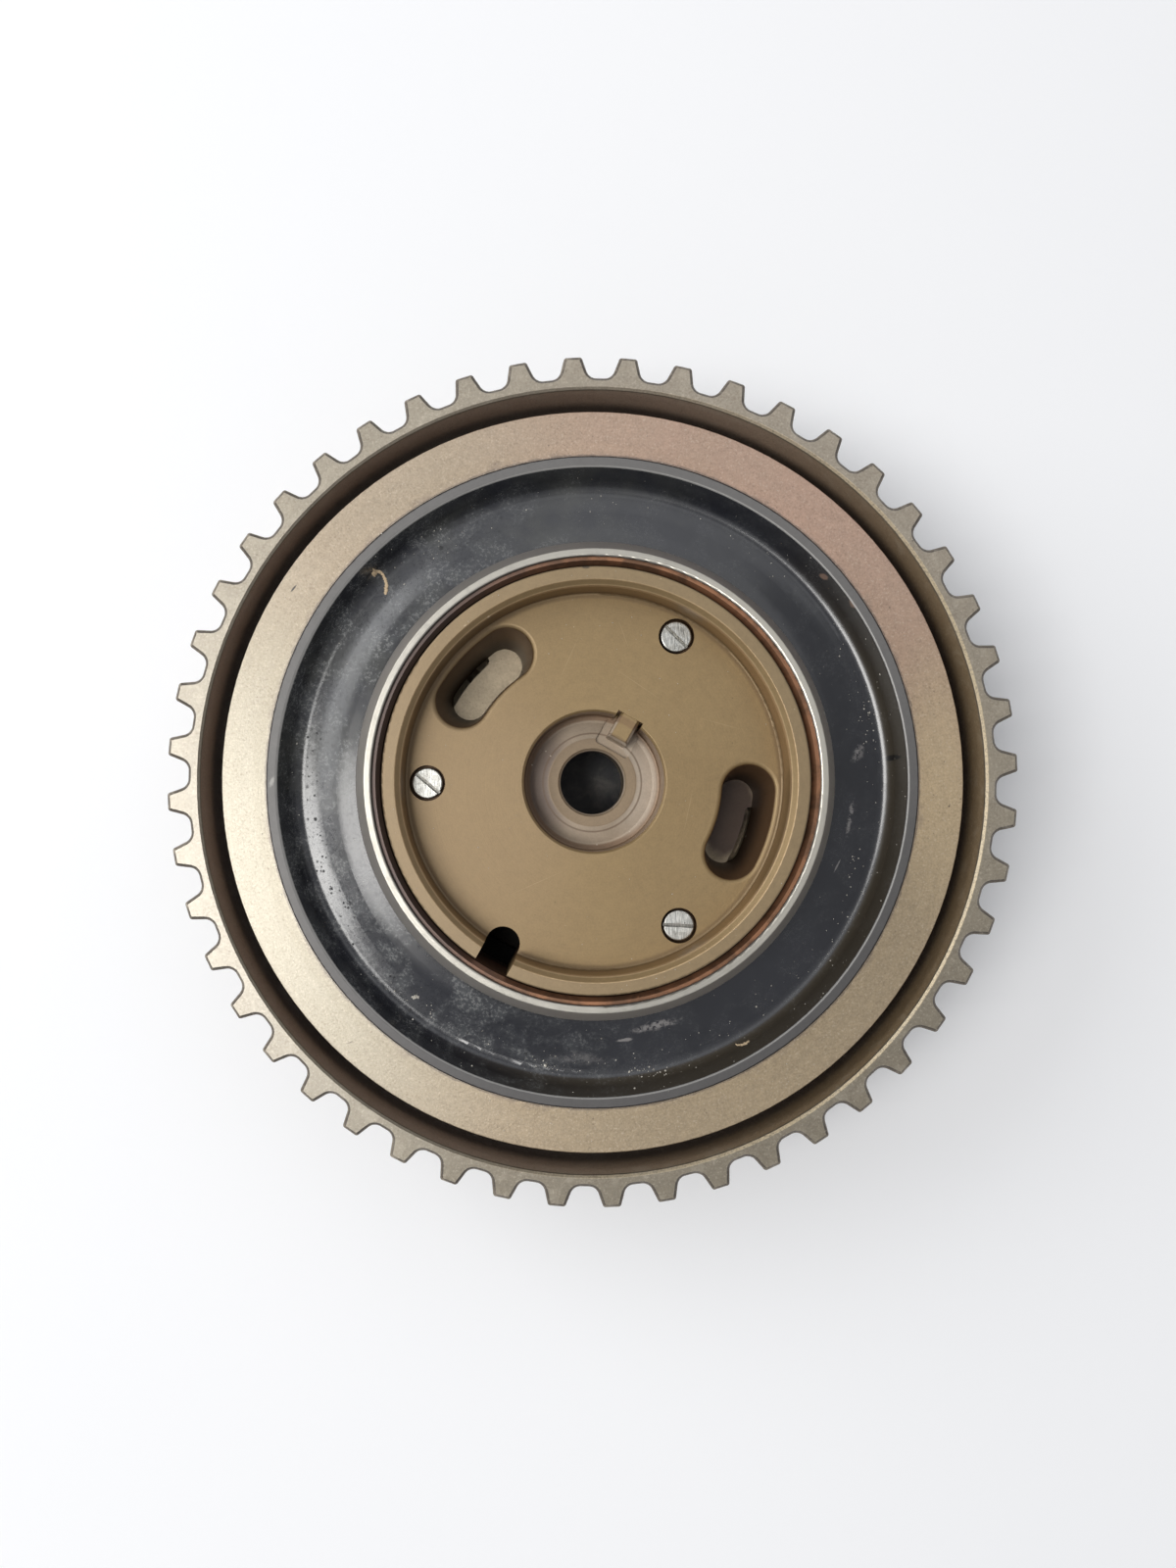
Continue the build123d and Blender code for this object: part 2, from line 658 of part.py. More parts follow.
def leaf_spring(angle, foot_radius, outward):
    """Arched leaf under a seal bar: its ends stand on the slot floor, its crown on the bar."""
    rise = outward * (seal_spring_height - seal_spring_thickness)
    thick = outward * seal_spring_thickness
    half_length = seal_spring_length / 2
    middle_z = (rotor_front_z + rotor_rear_z) / 2
    leaf_plane = Plane(
        origin=(*on_circle(foot_radius, angle), middle_z),
        x_dir=(0, 0, 1),
        z_dir=(-sin(radians(angle)), cos(radians(angle)), 0),
    )
    sign = 1 if leaf_plane.y_dir.dot(Vector(*on_circle(1, angle))) > 0 else -1
    with BuildPart() as leaf:
        with BuildSketch(leaf_plane):
            with BuildLine():
                ThreePointArc((-half_length, 0), (0, sign * rise), (half_length, 0))
                Line((half_length, 0), (half_length, sign * thick))
                ThreePointArc(
                    (half_length, sign * thick), (0, sign * (rise + thick)), (-half_length, sign * thick)
                )
                Line((-half_length, sign * thick), (-half_length, 0))
            make_face()
        extrude(amount=seal_spring_width / 2, both=True)
    return leaf


# Seal bars and leaf springs, in the vanes against the body and in the lobes against the rotor
for number, angle in enumerate(vane_angles, start=1):
    bar_foot = vane_slot_radius + seal_spring_height
    finish(seal_bar(angle, bar_foot, chamber_radius - running_gap), f"vane_seal_{number}")
    finish(leaf_spring(angle, vane_slot_radius, 1), f"vane_seal_spring_{number}")
for number, angle in enumerate(lobe_angles, start=1):
    bar_foot = lobe_slot_radius - seal_spring_height
    finish(seal_bar(angle, bar_foot, rotor_radius + running_gap), f"lobe_seal_{number}")
    finish(leaf_spring(angle, lobe_slot_radius, -1), f"lobe_seal_spring_{number}")

# Lock pin, held back from its seat, with its spring and vented retainer
pin_centre = on_circle(lock_pin_circle, first_vane_angle)
with BuildPart() as lock_pin:
    with BuildSketch(Plane.XY.offset(pin_nose_z)):
        with Locations(pin_centre):
            Circle(lock_pin_radius)
    extrude(amount=lock_pin_length)
    chamfer(edges().group_by(Axis.Z)[0], length=lock_pin_chamfer)
    with BuildSketch(Plane.XY.offset(pin_top_z - lock_pin_head_height)):
        with Locations(pin_centre):
            Circle(lock_pin_head_radius)
    extrude(amount=lock_pin_head_height)
    with BuildSketch(Plane.XY.offset(pin_top_z)):
        with Locations(pin_centre):
            Circle(lock_pin_bore_radius)
    extrude(amount=-(lock_pin_length - lock_pin_floor), mode=Mode.SUBTRACT)
finish(lock_pin, "lock_pin")

with BuildPart() as lock_pin_retainer:
    with BuildSketch(Plane.XY.offset(retainer_base_z)):
        with Locations(pin_centre):
            Circle(lock_pin_head_radius + running_gap - press_gap)
            Circle(retainer_vent_radius, mode=Mode.SUBTRACT)
    extrude(amount=retainer_thickness)
finish(lock_pin_retainer, "lock_pin_retainer")

with BuildPart() as lock_pin_spring:
    coil_base_z = pin_nose_z + lock_pin_floor + lock_spring_wire / 2
    coil_height = retainer_base_z - lock_spring_wire / 2 - coil_base_z
    with BuildLine(Plane(origin=(*pin_centre, coil_base_z))) as coil_line:
        Helix(pitch=coil_height / lock_spring_turns, height=coil_height, radius=lock_spring_radius)
    with BuildSketch(Plane(origin=coil_line.line @ 0, z_dir=coil_line.line % 0)):
        Circle(lock_spring_wire / 2)
    sweep(path=coil_line.line, is_frenet=True)
finish(lock_pin_spring, "lock_pin_spring")

# Hardened seat for the lock pin, pressed into the front cover
seat_radius = lock_pin_radius + lock_pin_slack + lock_seat_wall
with BuildPart() as lock_pin_seat:
    with BuildSketch(Plane.XY.offset(drum_front_z - lock_seat_depth)):
        with Locations(pin_centre):
            Circle(seat_radius - press_gap)
            Circle(lock_pin_radius + lock_pin_slack, mode=Mode.SUBTRACT)
    extrude(amount=lock_seat_depth)
finish(lock_pin_seat, "lock_pin_seat")

# Front cover with the boss that the sprocket lies on
with BuildPart() as front_cover:
    revolve(turned_face([
        (plug_thread_radius, drum_front_z, 0),
        (plug_thread_radius, 0, 0),
        (front_boss_radius, 0, front_edge_chamfer),
        (front_boss_radius, front_flange_z, front_boss_fillet),
        (front_cover_radius, front_flange_z, front_edge_chamfer),
        (front_cover_radius, drum_front_z, 0),
    ]), axis=Axis.Z)
    with BuildSketch(Plane.XY):
        Circle(plug_head_radius + boss_gap)
    extrude(amount=plug_counterbore_depth, mode=Mode.SUBTRACT)
    with BuildSketch(Plane.XY.offset(front_flange_z)):
        with Locations(*[on_circle(cover_bolt_circle, angle) for angle in bolt_angles]):
            Circle(cover_bolt_radius + cover_bolt_clearance)
    extrude(amount=front_cover_thickness, mode=Mode.SUBTRACT)
    with BuildSketch(Plane.XY.offset(drum_front_z)):
        with Locations(*[on_circle(cover_dowel_circle, angle) for angle in lobe_angles[:2]]):
            Circle(cover_dowel_radius + press_gap)
    extrude(amount=-cover_dowel_length / 2, mode=Mode.SUBTRACT)
    with BuildSketch(Plane.XY.offset(drum_front_z)):
        with Locations(pin_centre):
            Circle(seat_radius)
    extrude(amount=-lock_seat_depth, mode=Mode.SUBTRACT)
    with BuildSketch(Plane.XY.offset(drum_front_z)):
        groove_angle = first_vane_angle + vane_span / 2 + stop_gap
        groove_half_span = vane_span / 4 + stop_gap
        add(arc_slot(lock_pin_circle, groove_angle, groove_half_span, lock_groove_width))
    extrude(amount=-lock_groove_depth, mode=Mode.SUBTRACT)
finish(front_cover, "front_cover")

# Cover bolts with a hexagon socket in a low head
for number, angle in enumerate(bolt_angles, start=1):
    centre = on_circle(cover_bolt_circle, angle)
    with BuildPart() as cover_bolt:
        with BuildSketch(Plane.XY.offset(front_flange_z)):
            with Locations(centre):
                Circle(cover_bolt_radius)
        extrude(amount=front_cover_thickness + chamber_depth + cover_bolt_bite)
        chamfer(edges().group_by(Axis.Z)[-1], length=cover_bolt_end_chamfer)
        with BuildSketch(Plane.XY.offset(front_flange_z - cover_bolt_head_height)):
            with Locations(centre):
                Circle(cover_bolt_head_radius)
        extrude(amount=cover_bolt_head_height)
        chamfer(edges().group_by(Axis.Z)[0], length=cover_bolt_head_chamfer)
        with BuildSketch(Plane.XY.offset(front_flange_z - cover_bolt_head_height)):
            with Locations(centre):
                RegularPolygon(cover_bolt_socket / 2, 6, major_radius=False, rotation=angle)
        extrude(amount=cover_bolt_socket_depth, mode=Mode.SUBTRACT)
    finish(cover_bolt, f"cover_bolt_{number}")

# Dowels between front cover and body
for number, angle in enumerate(lobe_angles[:2], start=1):
    with BuildPart() as cover_dowel:
        with BuildSketch(Plane.XY.offset(drum_front_z - cover_dowel_length / 2)):
            with Locations(on_circle(cover_dowel_circle, angle)):
                Circle(cover_dowel_radius)
        extrude(amount=cover_dowel_length)
        chamfer(edges().filter_by(GeomType.CIRCLE), length=dowel_chamfer)
    finish(cover_dowel, f"cover_dowel_{number}")

# Closing plug over the bolt head, and its flat washer
with BuildPart() as closing_plug:
    revolve(turned_face([
        (0, plug_sink, 0),
        (plug_head_radius, plug_sink, plug_head_chamfer),
        (plug_head_radius, plug_sink + plug_head_thickness, edge_break),
        (plug_thread_radius - press_gap, plug_sink + plug_head_thickness, 0),
        (plug_thread_radius - press_gap, plug_sink + plug_length, plug_end_chamfer),
        (0, plug_sink + plug_length, 0),
    ]), axis=Axis.Z)
    with BuildSketch(Plane.XY.offset(plug_sink)):
        RegularPolygon(plug_socket_size / 2, 6, major_radius=False)
    extrude(amount=plug_socket_depth, mode=Mode.SUBTRACT)
finish(closing_plug, "closing_plug")

with BuildPart() as plug_washer:
    with BuildSketch(Plane.XY.offset(plug_sink + plug_head_thickness)):
        Circle(plug_thread_radius + seat_gap + plug_washer_width)
        Circle(plug_thread_radius + seat_gap, mode=Mode.SUBTRACT)
    extrude(amount=plug_washer_thickness)
finish(plug_washer, "plug_washer")
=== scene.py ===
import math

import bmesh
import bpy
import numpy as np
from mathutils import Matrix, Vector


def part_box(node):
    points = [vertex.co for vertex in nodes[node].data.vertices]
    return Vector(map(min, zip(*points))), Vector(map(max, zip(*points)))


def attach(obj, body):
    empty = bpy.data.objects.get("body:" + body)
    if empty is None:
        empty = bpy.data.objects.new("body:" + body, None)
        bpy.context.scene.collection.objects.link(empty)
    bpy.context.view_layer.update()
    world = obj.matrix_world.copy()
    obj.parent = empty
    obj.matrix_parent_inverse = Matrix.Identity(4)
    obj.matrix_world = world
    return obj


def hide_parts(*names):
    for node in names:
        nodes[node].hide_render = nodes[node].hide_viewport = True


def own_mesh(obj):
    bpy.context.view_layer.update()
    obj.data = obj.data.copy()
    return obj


# Camshaft sprocket with a vane cam phaser, lying on its front cover, seen from the camshaft side.
# Lengths in the scene are metres. Shading works in millimetres, through the turned_place group.

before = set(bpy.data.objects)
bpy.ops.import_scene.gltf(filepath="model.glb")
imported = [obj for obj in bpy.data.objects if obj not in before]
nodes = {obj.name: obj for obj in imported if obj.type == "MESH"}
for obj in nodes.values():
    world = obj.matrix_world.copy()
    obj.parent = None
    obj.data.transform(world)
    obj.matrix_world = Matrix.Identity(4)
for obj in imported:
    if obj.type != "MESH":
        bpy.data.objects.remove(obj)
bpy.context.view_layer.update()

MM = 0.001

# Heights of the flat faces, in millimetres: the toothed rim, the plate and the cover's lip, the end of the
# neck, the hub disc's floor and the top of its rim.
RIM_FACE = 33.0
PLATE_FACE = 32.5
NECK_END = 42.5
DISC_FLOOR = 37.3
DISC_RIM = 42.8

# Inner radius of a ring that has no inner border. It lies below any real radius.
AXIS = -1.0


class Net:
    """A node tree with short calls. Each call adds its nodes and gives back their last output."""

    def __init__(self, tree):
        self.tree = tree

    def put(self, socket, value):
        if isinstance(value, bpy.types.NodeSocket):
            self.tree.links.new(value, socket)
        else:
            socket.default_value = value

    def add(self, kind, values=None, **settings):
        made = self.tree.nodes.new(kind)
        for name, value in settings.items():
            setattr(made, name, value)
        for key, value in (values or {}).items():
            self.put(made.inputs[key], value)
        return made

    def math(self, operation, first, second=0.0, third=0.0, clamp=False):
        values = {0: first, 1: second, 2: third}
        return self.add("ShaderNodeMath", values, operation=operation, use_clamp=clamp).outputs[0]

    def plus(self, first, second, clamp=False):
        return self.math("ADD", first, second, clamp=clamp)

    def minus(self, first, second, clamp=False):
        return self.math("SUBTRACT", first, second, clamp=clamp)

    def times(self, first, *others):
        for other in others:
            first = self.math("MULTIPLY", first, other)
        return first

    def scaled(self, value, factor, offset):
        """Value times factor, plus offset."""
        return self.math("MULTIPLY_ADD", value, factor, offset)

    def most(self, first, *others):
        """The highest of several values."""
        for other in others:
            first = self.math("MAXIMUM", first, other)
        return first

    def rise(self, value, low, high, start=0.0, end=1.0):
        """Smooth step of value from low to high, given out between start and end."""
        values = {"Value": value, "From Min": low, "From Max": high, "To Min": start, "To Max": end}
        return self.add("ShaderNodeMapRange", values, interpolation_type="SMOOTHSTEP").outputs["Result"]

    def step(self, value, middle, soft):
        """Smooth step of value across a middle, from soft below it to soft above it."""
        return self.rise(value, self.minus(middle, soft), self.plus(middle, soft))

    def blend(self, amount, first, second):
        """Colour between two colours."""
        values = {0: amount, 6: first, 7: second}
        return self.add("ShaderNodeMix", values, data_type="RGBA").outputs[2]

    def between(self, amount, first, second):
        """Value between two values."""
        values = {0: amount, 2: first, 3: second}
        return self.add("ShaderNodeMix", values, data_type="FLOAT").outputs[0]

    def noise(self, place, scale, detail=3.0, roughness=0.55, distortion=0.0):
        values = {"Vector": place, "Scale": scale, "Detail": detail, "Roughness": roughness,
                  "Distortion": distortion}
        return self.add("ShaderNodeTexNoise", values).outputs["Fac"]

    def cells(self, place, scale, output="Distance"):
        return self.add("ShaderNodeTexVoronoi", {"Vector": place, "Scale": scale}).outputs[output]

    def parts(self, place):
        return self.add("ShaderNodeSeparateXYZ", {0: place}).outputs

    def vector(self, x, y, z):
        return self.add("ShaderNodeCombineXYZ", {0: x, 1: y, 2: z}).outputs[0]

    def use(self, group, **values):
        made = self.tree.nodes.new("ShaderNodeGroup")
        made.node_tree = group
        for name, value in values.items():
            self.put(made.inputs[name.replace("_", " ")], value)
        return made.outputs


def effect(name, inputs, outputs, build):
    """A shader node group with named sockets. build(net, inputs) gives its outputs by name."""
    tree = bpy.data.node_groups.new(name, "ShaderNodeTree")
    for label, value in inputs.items():
        kind = "NodeSocketVector" if value is None else "NodeSocketFloat"
        socket = tree.interface.new_socket(label, in_out="INPUT", socket_type=kind)
        if value is not None:
            socket.default_value = value
    for label in outputs:
        tree.interface.new_socket(label, in_out="OUTPUT", socket_type="NodeSocketFloat")
    net = Net(tree)
    entry = tree.nodes.new("NodeGroupInput").outputs
    leave = tree.nodes.new("NodeGroupOutput").inputs
    for label, value in build(net, entry).items():
        net.put(leave[label], value)
    return tree


def srgb(red, green, blue):
    """Colour given as 0 to 255 display values, as the linear colour that a shader takes."""
    shares = (red / 255, green / 255, blue / 255)
    linear = [v / 12.92 if v <= 0.04045 else ((v + 0.055) / 1.055) ** 2.4 for v in shares]
    return (*linear, 1.0)


def build_turned_place(net, given):
    """Distance from the sprocket's axis and height, in millimetres, and the angle in radians."""
    x, y, z = net.parts(given["Place"])
    squares = net.plus(net.times(x, x), net.times(y, y))
    return {
        "Radius": net.times(net.math("SQRT", squares), 1 / MM),
        "Angle": net.math("ARCTAN2", y, x),
        "Height": net.times(z, 1 / MM),
    }


def build_band(net, given):
    """One inside low to high and nought outside, with soft borders that a noise makes ragged."""
    wander = net.minus(net.noise(given["Place"], given["Ragged Scale"], 4.0, 0.6), 0.5)
    value = net.scaled(wander, given["Ragged"], given["Value"])
    up = net.step(value, given["Low"], given["Soft"])
    down = net.step(value, given["High"], given["Soft"])
    return {"Mask": net.minus(up, down, clamp=True)}


def build_fine_grain(net, given):
    """Granular blasted and anodised skin: two sizes of noise, as a shade round one and as a height."""
    fine = net.noise(given["Place"], given["Scale"], 2.0, 0.6)
    coarse = net.noise(given["Place"], net.times(given["Scale"], 0.27), 3.0, 0.6)
    both = net.scaled(coarse, 0.45, net.times(fine, 0.55))
    swing = net.times(net.minus(both, 0.5), given["Contrast"])
    return {"Shade": net.plus(swing, 1.0), "Height": both}


def build_lathe_marks(net, given):
    """Turning marks: noise that changes fast along the radius and height and slowly round the axis."""
    along = net.times(given["Radius"], given["Marks per mm"])
    up = net.times(given["Height"], given["Marks per mm"])
    side = net.times(net.math("SINE", given["Angle"]), given["Breaks"])
    other = net.times(net.math("COSINE", given["Angle"]), given["Breaks"])
    place = net.vector(net.plus(along, side), other, up)
    marks = net.noise(place, 1.0, 3.0, 0.7)
    swing = net.times(net.minus(marks, 0.5), given["Contrast"])
    return {"Shade": net.plus(swing, 1.0), "Height": marks}


def build_specks(net, given):
    """Small separate dots: the middles of Voronoi cells, each with its own size, most of them dropped."""
    place, scale = given["Place"], given["Scale"]
    draws = net.parts(net.cells(place, scale, "Color"))
    kept = net.math("GREATER_THAN", given["Share"], draws[0])
    size = net.times(given["Size"], net.scaled(draws[1], 0.8, 0.35))
    dot = net.rise(net.cells(place, scale), size, net.times(size, 0.6))
    return {"Mask": net.times(dot, kept)}


def build_blotches(net, given):
    """Cloudy patches: noise cut at a level so that about share of the surface is covered."""
    cloud = net.noise(given["Place"], given["Scale"], 6.0, 0.62, 0.4)
    level = net.scaled(given["Share"], -0.45, 0.72)
    return {"Mask": net.step(cloud, level, given["Soft"])}


def build_mark(net, given):
    """One soft ellipse seen from above, in millimetres: a middle, half a length, half a width and a turn."""
    x, y = net.parts(given["Place"])[:2]
    across = net.minus(net.times(x, 1 / MM), given["Middle X"])
    up = net.minus(net.times(y, 1 / MM), given["Middle Y"])
    cosine, sine = net.math("COSINE", given["Turn"]), net.math("SINE", given["Turn"])
    along = net.plus(net.times(across, cosine), net.times(up, sine))
    aside = net.minus(net.times(up, cosine), net.times(across, sine))
    along = net.math("DIVIDE", along, given["Half Length"])
    aside = net.math("DIVIDE", aside, given["Half Width"])
    reach = net.math("SQRT", net.plus(net.times(along, along), net.times(aside, aside)))
    wander = net.minus(net.noise(given["Place"], given["Ragged Scale"], 4.0, 0.65), 0.5)
    reach = net.scaled(wander, given["Ragged"], reach)
    return {"Mask": net.rise(reach, 1.0, net.minus(1.0, given["Soft"]))}


turned_place = effect("turned_place", {"Place": None}, ("Radius", "Angle", "Height"), build_turned_place)
band = effect(
    "band",
    {"Place": None, "Value": 0.0, "Low": 0.0, "High": 1.0, "Soft": 0.05, "Ragged": 0.0,
     "Ragged Scale": 400.0},
    ("Mask",), build_band)
fine_grain = effect(
    "fine_grain", {"Place": None, "Scale": 3000.0, "Contrast": 0.2}, ("Shade", "Height"), build_fine_grain)
lathe_marks = effect(
    "lathe_marks",
    {"Radius": 0.0, "Height": 0.0, "Angle": 0.0, "Marks per mm": 6.0, "Breaks": 1.7, "Contrast": 0.2},
    ("Shade", "Height"), build_lathe_marks)
specks = effect(
    "specks", {"Place": None, "Scale": 500.0, "Size": 0.2, "Share": 0.2}, ("Mask",), build_specks)
mark = effect(
    "mark",
    {"Place": None, "Middle X": 0.0, "Middle Y": 0.0, "Half Length": 1.0, "Half Width": 1.0, "Turn": 0.0,
     "Soft": 0.5, "Ragged": 0.0, "Ragged Scale": 2000.0},
    ("Mask",), build_mark)
blotches = effect(
    "blotches", {"Place": None, "Scale": 100.0, "Share": 0.5, "Soft": 0.08}, ("Mask",), build_blotches)


class Finish:
    """A material under way: its net, its shader, the place, radius, height and angle sockets, and its
    colour so far, which lay and vary change. Radii, heights and marks are given in millimetres."""

    def __init__(self, name, metallic=0.0, **sockets):
        self.material = bpy.data.materials.new(name)
        self.material.use_nodes = True
        self.net = Net(self.material.node_tree)
        self.shader = self.material.node_tree.nodes["Principled BSDF"]
        self.shader.inputs["Metallic"].default_value = metallic
        for label, value in sockets.items():
            self.shader.inputs[label.replace("_", " ")].default_value = value
        self.place = self.net.add("ShaderNodeTexCoord").outputs["Object"]
        turned = self.net.use(turned_place, Place=self.place)
        self.radius, self.angle, self.height = turned["Radius"], turned["Angle"], turned["Height"]
        self.colour = None

    def zone(self, value, low, high, soft=0.05, ragged=0.0, ragged_scale=400.0):
        """One where a value lies between low and high, with soft and perhaps ragged borders."""
        return self.net.use(band, Place=self.place, Value=value, Low=low, High=high, Soft=soft,
                            Ragged=ragged, Ragged_Scale=ragged_scale)["Mask"]

    def ring(self, *limits):
        """One between two radii. The borders' softness, raggedness and its scale may follow them."""
        return self.zone(self.radius, *limits)

    def level(self, *limits):
        """The same between two heights."""
        return self.zone(self.height, *limits)

    def past(self, start, full):
        """One where the height is past full, upwards or downwards, and nought before start."""
        return self.net.rise(self.height, start, full)

    def where(self, *masks):
        """Product of masks, so one only where all of them are. A plain share may stand among them."""
        return self.net.times(*masks)

    def thin(self, value, mask, amount):
        """A value that is less, by a share of itself, where the mask is one."""
        return self.net.times(value, self.net.scaled(mask, -amount, 1.0))

    def marks(self, marks_per_mm, contrast, breaks=1.7):
        return self.net.use(lathe_marks, Radius=self.radius, Height=self.height, Angle=self.angle,
                            Marks_per_mm=marks_per_mm, Breaks=breaks, Contrast=contrast)

    def toward(self, degrees, start, full):
        """One on the side of the axis that faces a direction. start and full are cosines of the angle
        to it."""
        x, y = self.net.parts(self.place)[:2]
        turn = math.radians(degrees)
        along = self.net.scaled(x, math.cos(turn), self.net.times(y, math.sin(turn)))
        least_radius = 0.5
        radius = self.net.most(self.radius, least_radius)
        share = self.net.math("DIVIDE", self.net.times(along, 1 / MM), radius)
        return self.net.rise(share, start, full)

    def mark(self, x, y, half_length, half_width, turn=0.0, soft=0.5, ragged=0.0, ragged_scale=2000.0):
        return self.net.use(mark, Place=self.place, Middle_X=x, Middle_Y=y, Half_Length=half_length,
                            Half_Width=half_width, Turn=math.radians(turn), Soft=soft, Ragged=ragged,
                            Ragged_Scale=ragged_scale)["Mask"]

    def paint(self, colour, mask, other, amount=1.0):
        """Another colour laid over a first one where the mask is one."""
        return self.net.blend(self.net.times(mask, amount), colour, other)

    def lay(self, mask, other, amount=1.0):
        """Another colour laid over the finish where the mask is one."""
        self.colour = self.paint(self.colour, mask, other, amount)

    def vary(self, *shades):
        """The finish's colour multiplied by values that vary round one."""
        for shade in shades:
            self.colour = self.shade(self.colour, shade)

    def streaks(self, scales, detail, roughness, turn=0.0):
        """Noise with its own scale along x, y and z, so that it runs in streaks along the smallest one."""
        values = {"Vector": self.place, "Rotation": (0.0, 0.0, turn), "Scale": scales}
        stretched = self.net.add("ShaderNodeMapping", values).outputs[0]
        return self.net.noise(stretched, 1.0, detail, roughness)

    def grain(self, scale, contrast):
        return self.net.use(fine_grain, Place=self.place, Scale=scale, Contrast=contrast)

    def dots(self, scale, size, share):
        return self.net.use(specks, Place=self.place, Scale=scale, Size=size, Share=share)["Mask"]

    def clouds(self, scale, share, soft=0.08):
        return self.net.use(blotches, Place=self.place, Scale=scale, Share=share, Soft=soft)["Mask"]

    def shade(self, colour, amount):
        """Colour multiplied by a value that varies round one."""
        base = colour[:3] if isinstance(colour, tuple) else colour
        scaled = self.net.add("ShaderNodeVectorMath", {0: base}, operation="SCALE")
        self.net.put(scaled.inputs["Scale"], amount)
        return scaled.outputs[0]

    def close(self, roughness, heights=(), metallic=None):
        """Feeds the shader. heights is a list of (height socket, strength, distance in millimetres)."""
        self.net.put(self.shader.inputs["Base Color"], self.colour)
        self.net.put(self.shader.inputs["Roughness"], roughness)
        if metallic is not None:
            self.net.put(self.shader.inputs["Metallic"], metallic)
        normal = None
        for height, strength, distance in heights:
            values = {"Strength": strength, "Distance": distance * MM, "Height": height}
            bump = self.net.add("ShaderNodeBump", values)
            if normal is not None:
                self.net.put(bump.inputs["Normal"], normal)
            normal = bump.outputs[0]
        if normal is not None:
            self.net.put(self.shader.inputs["Normal"], normal)
        return self.material


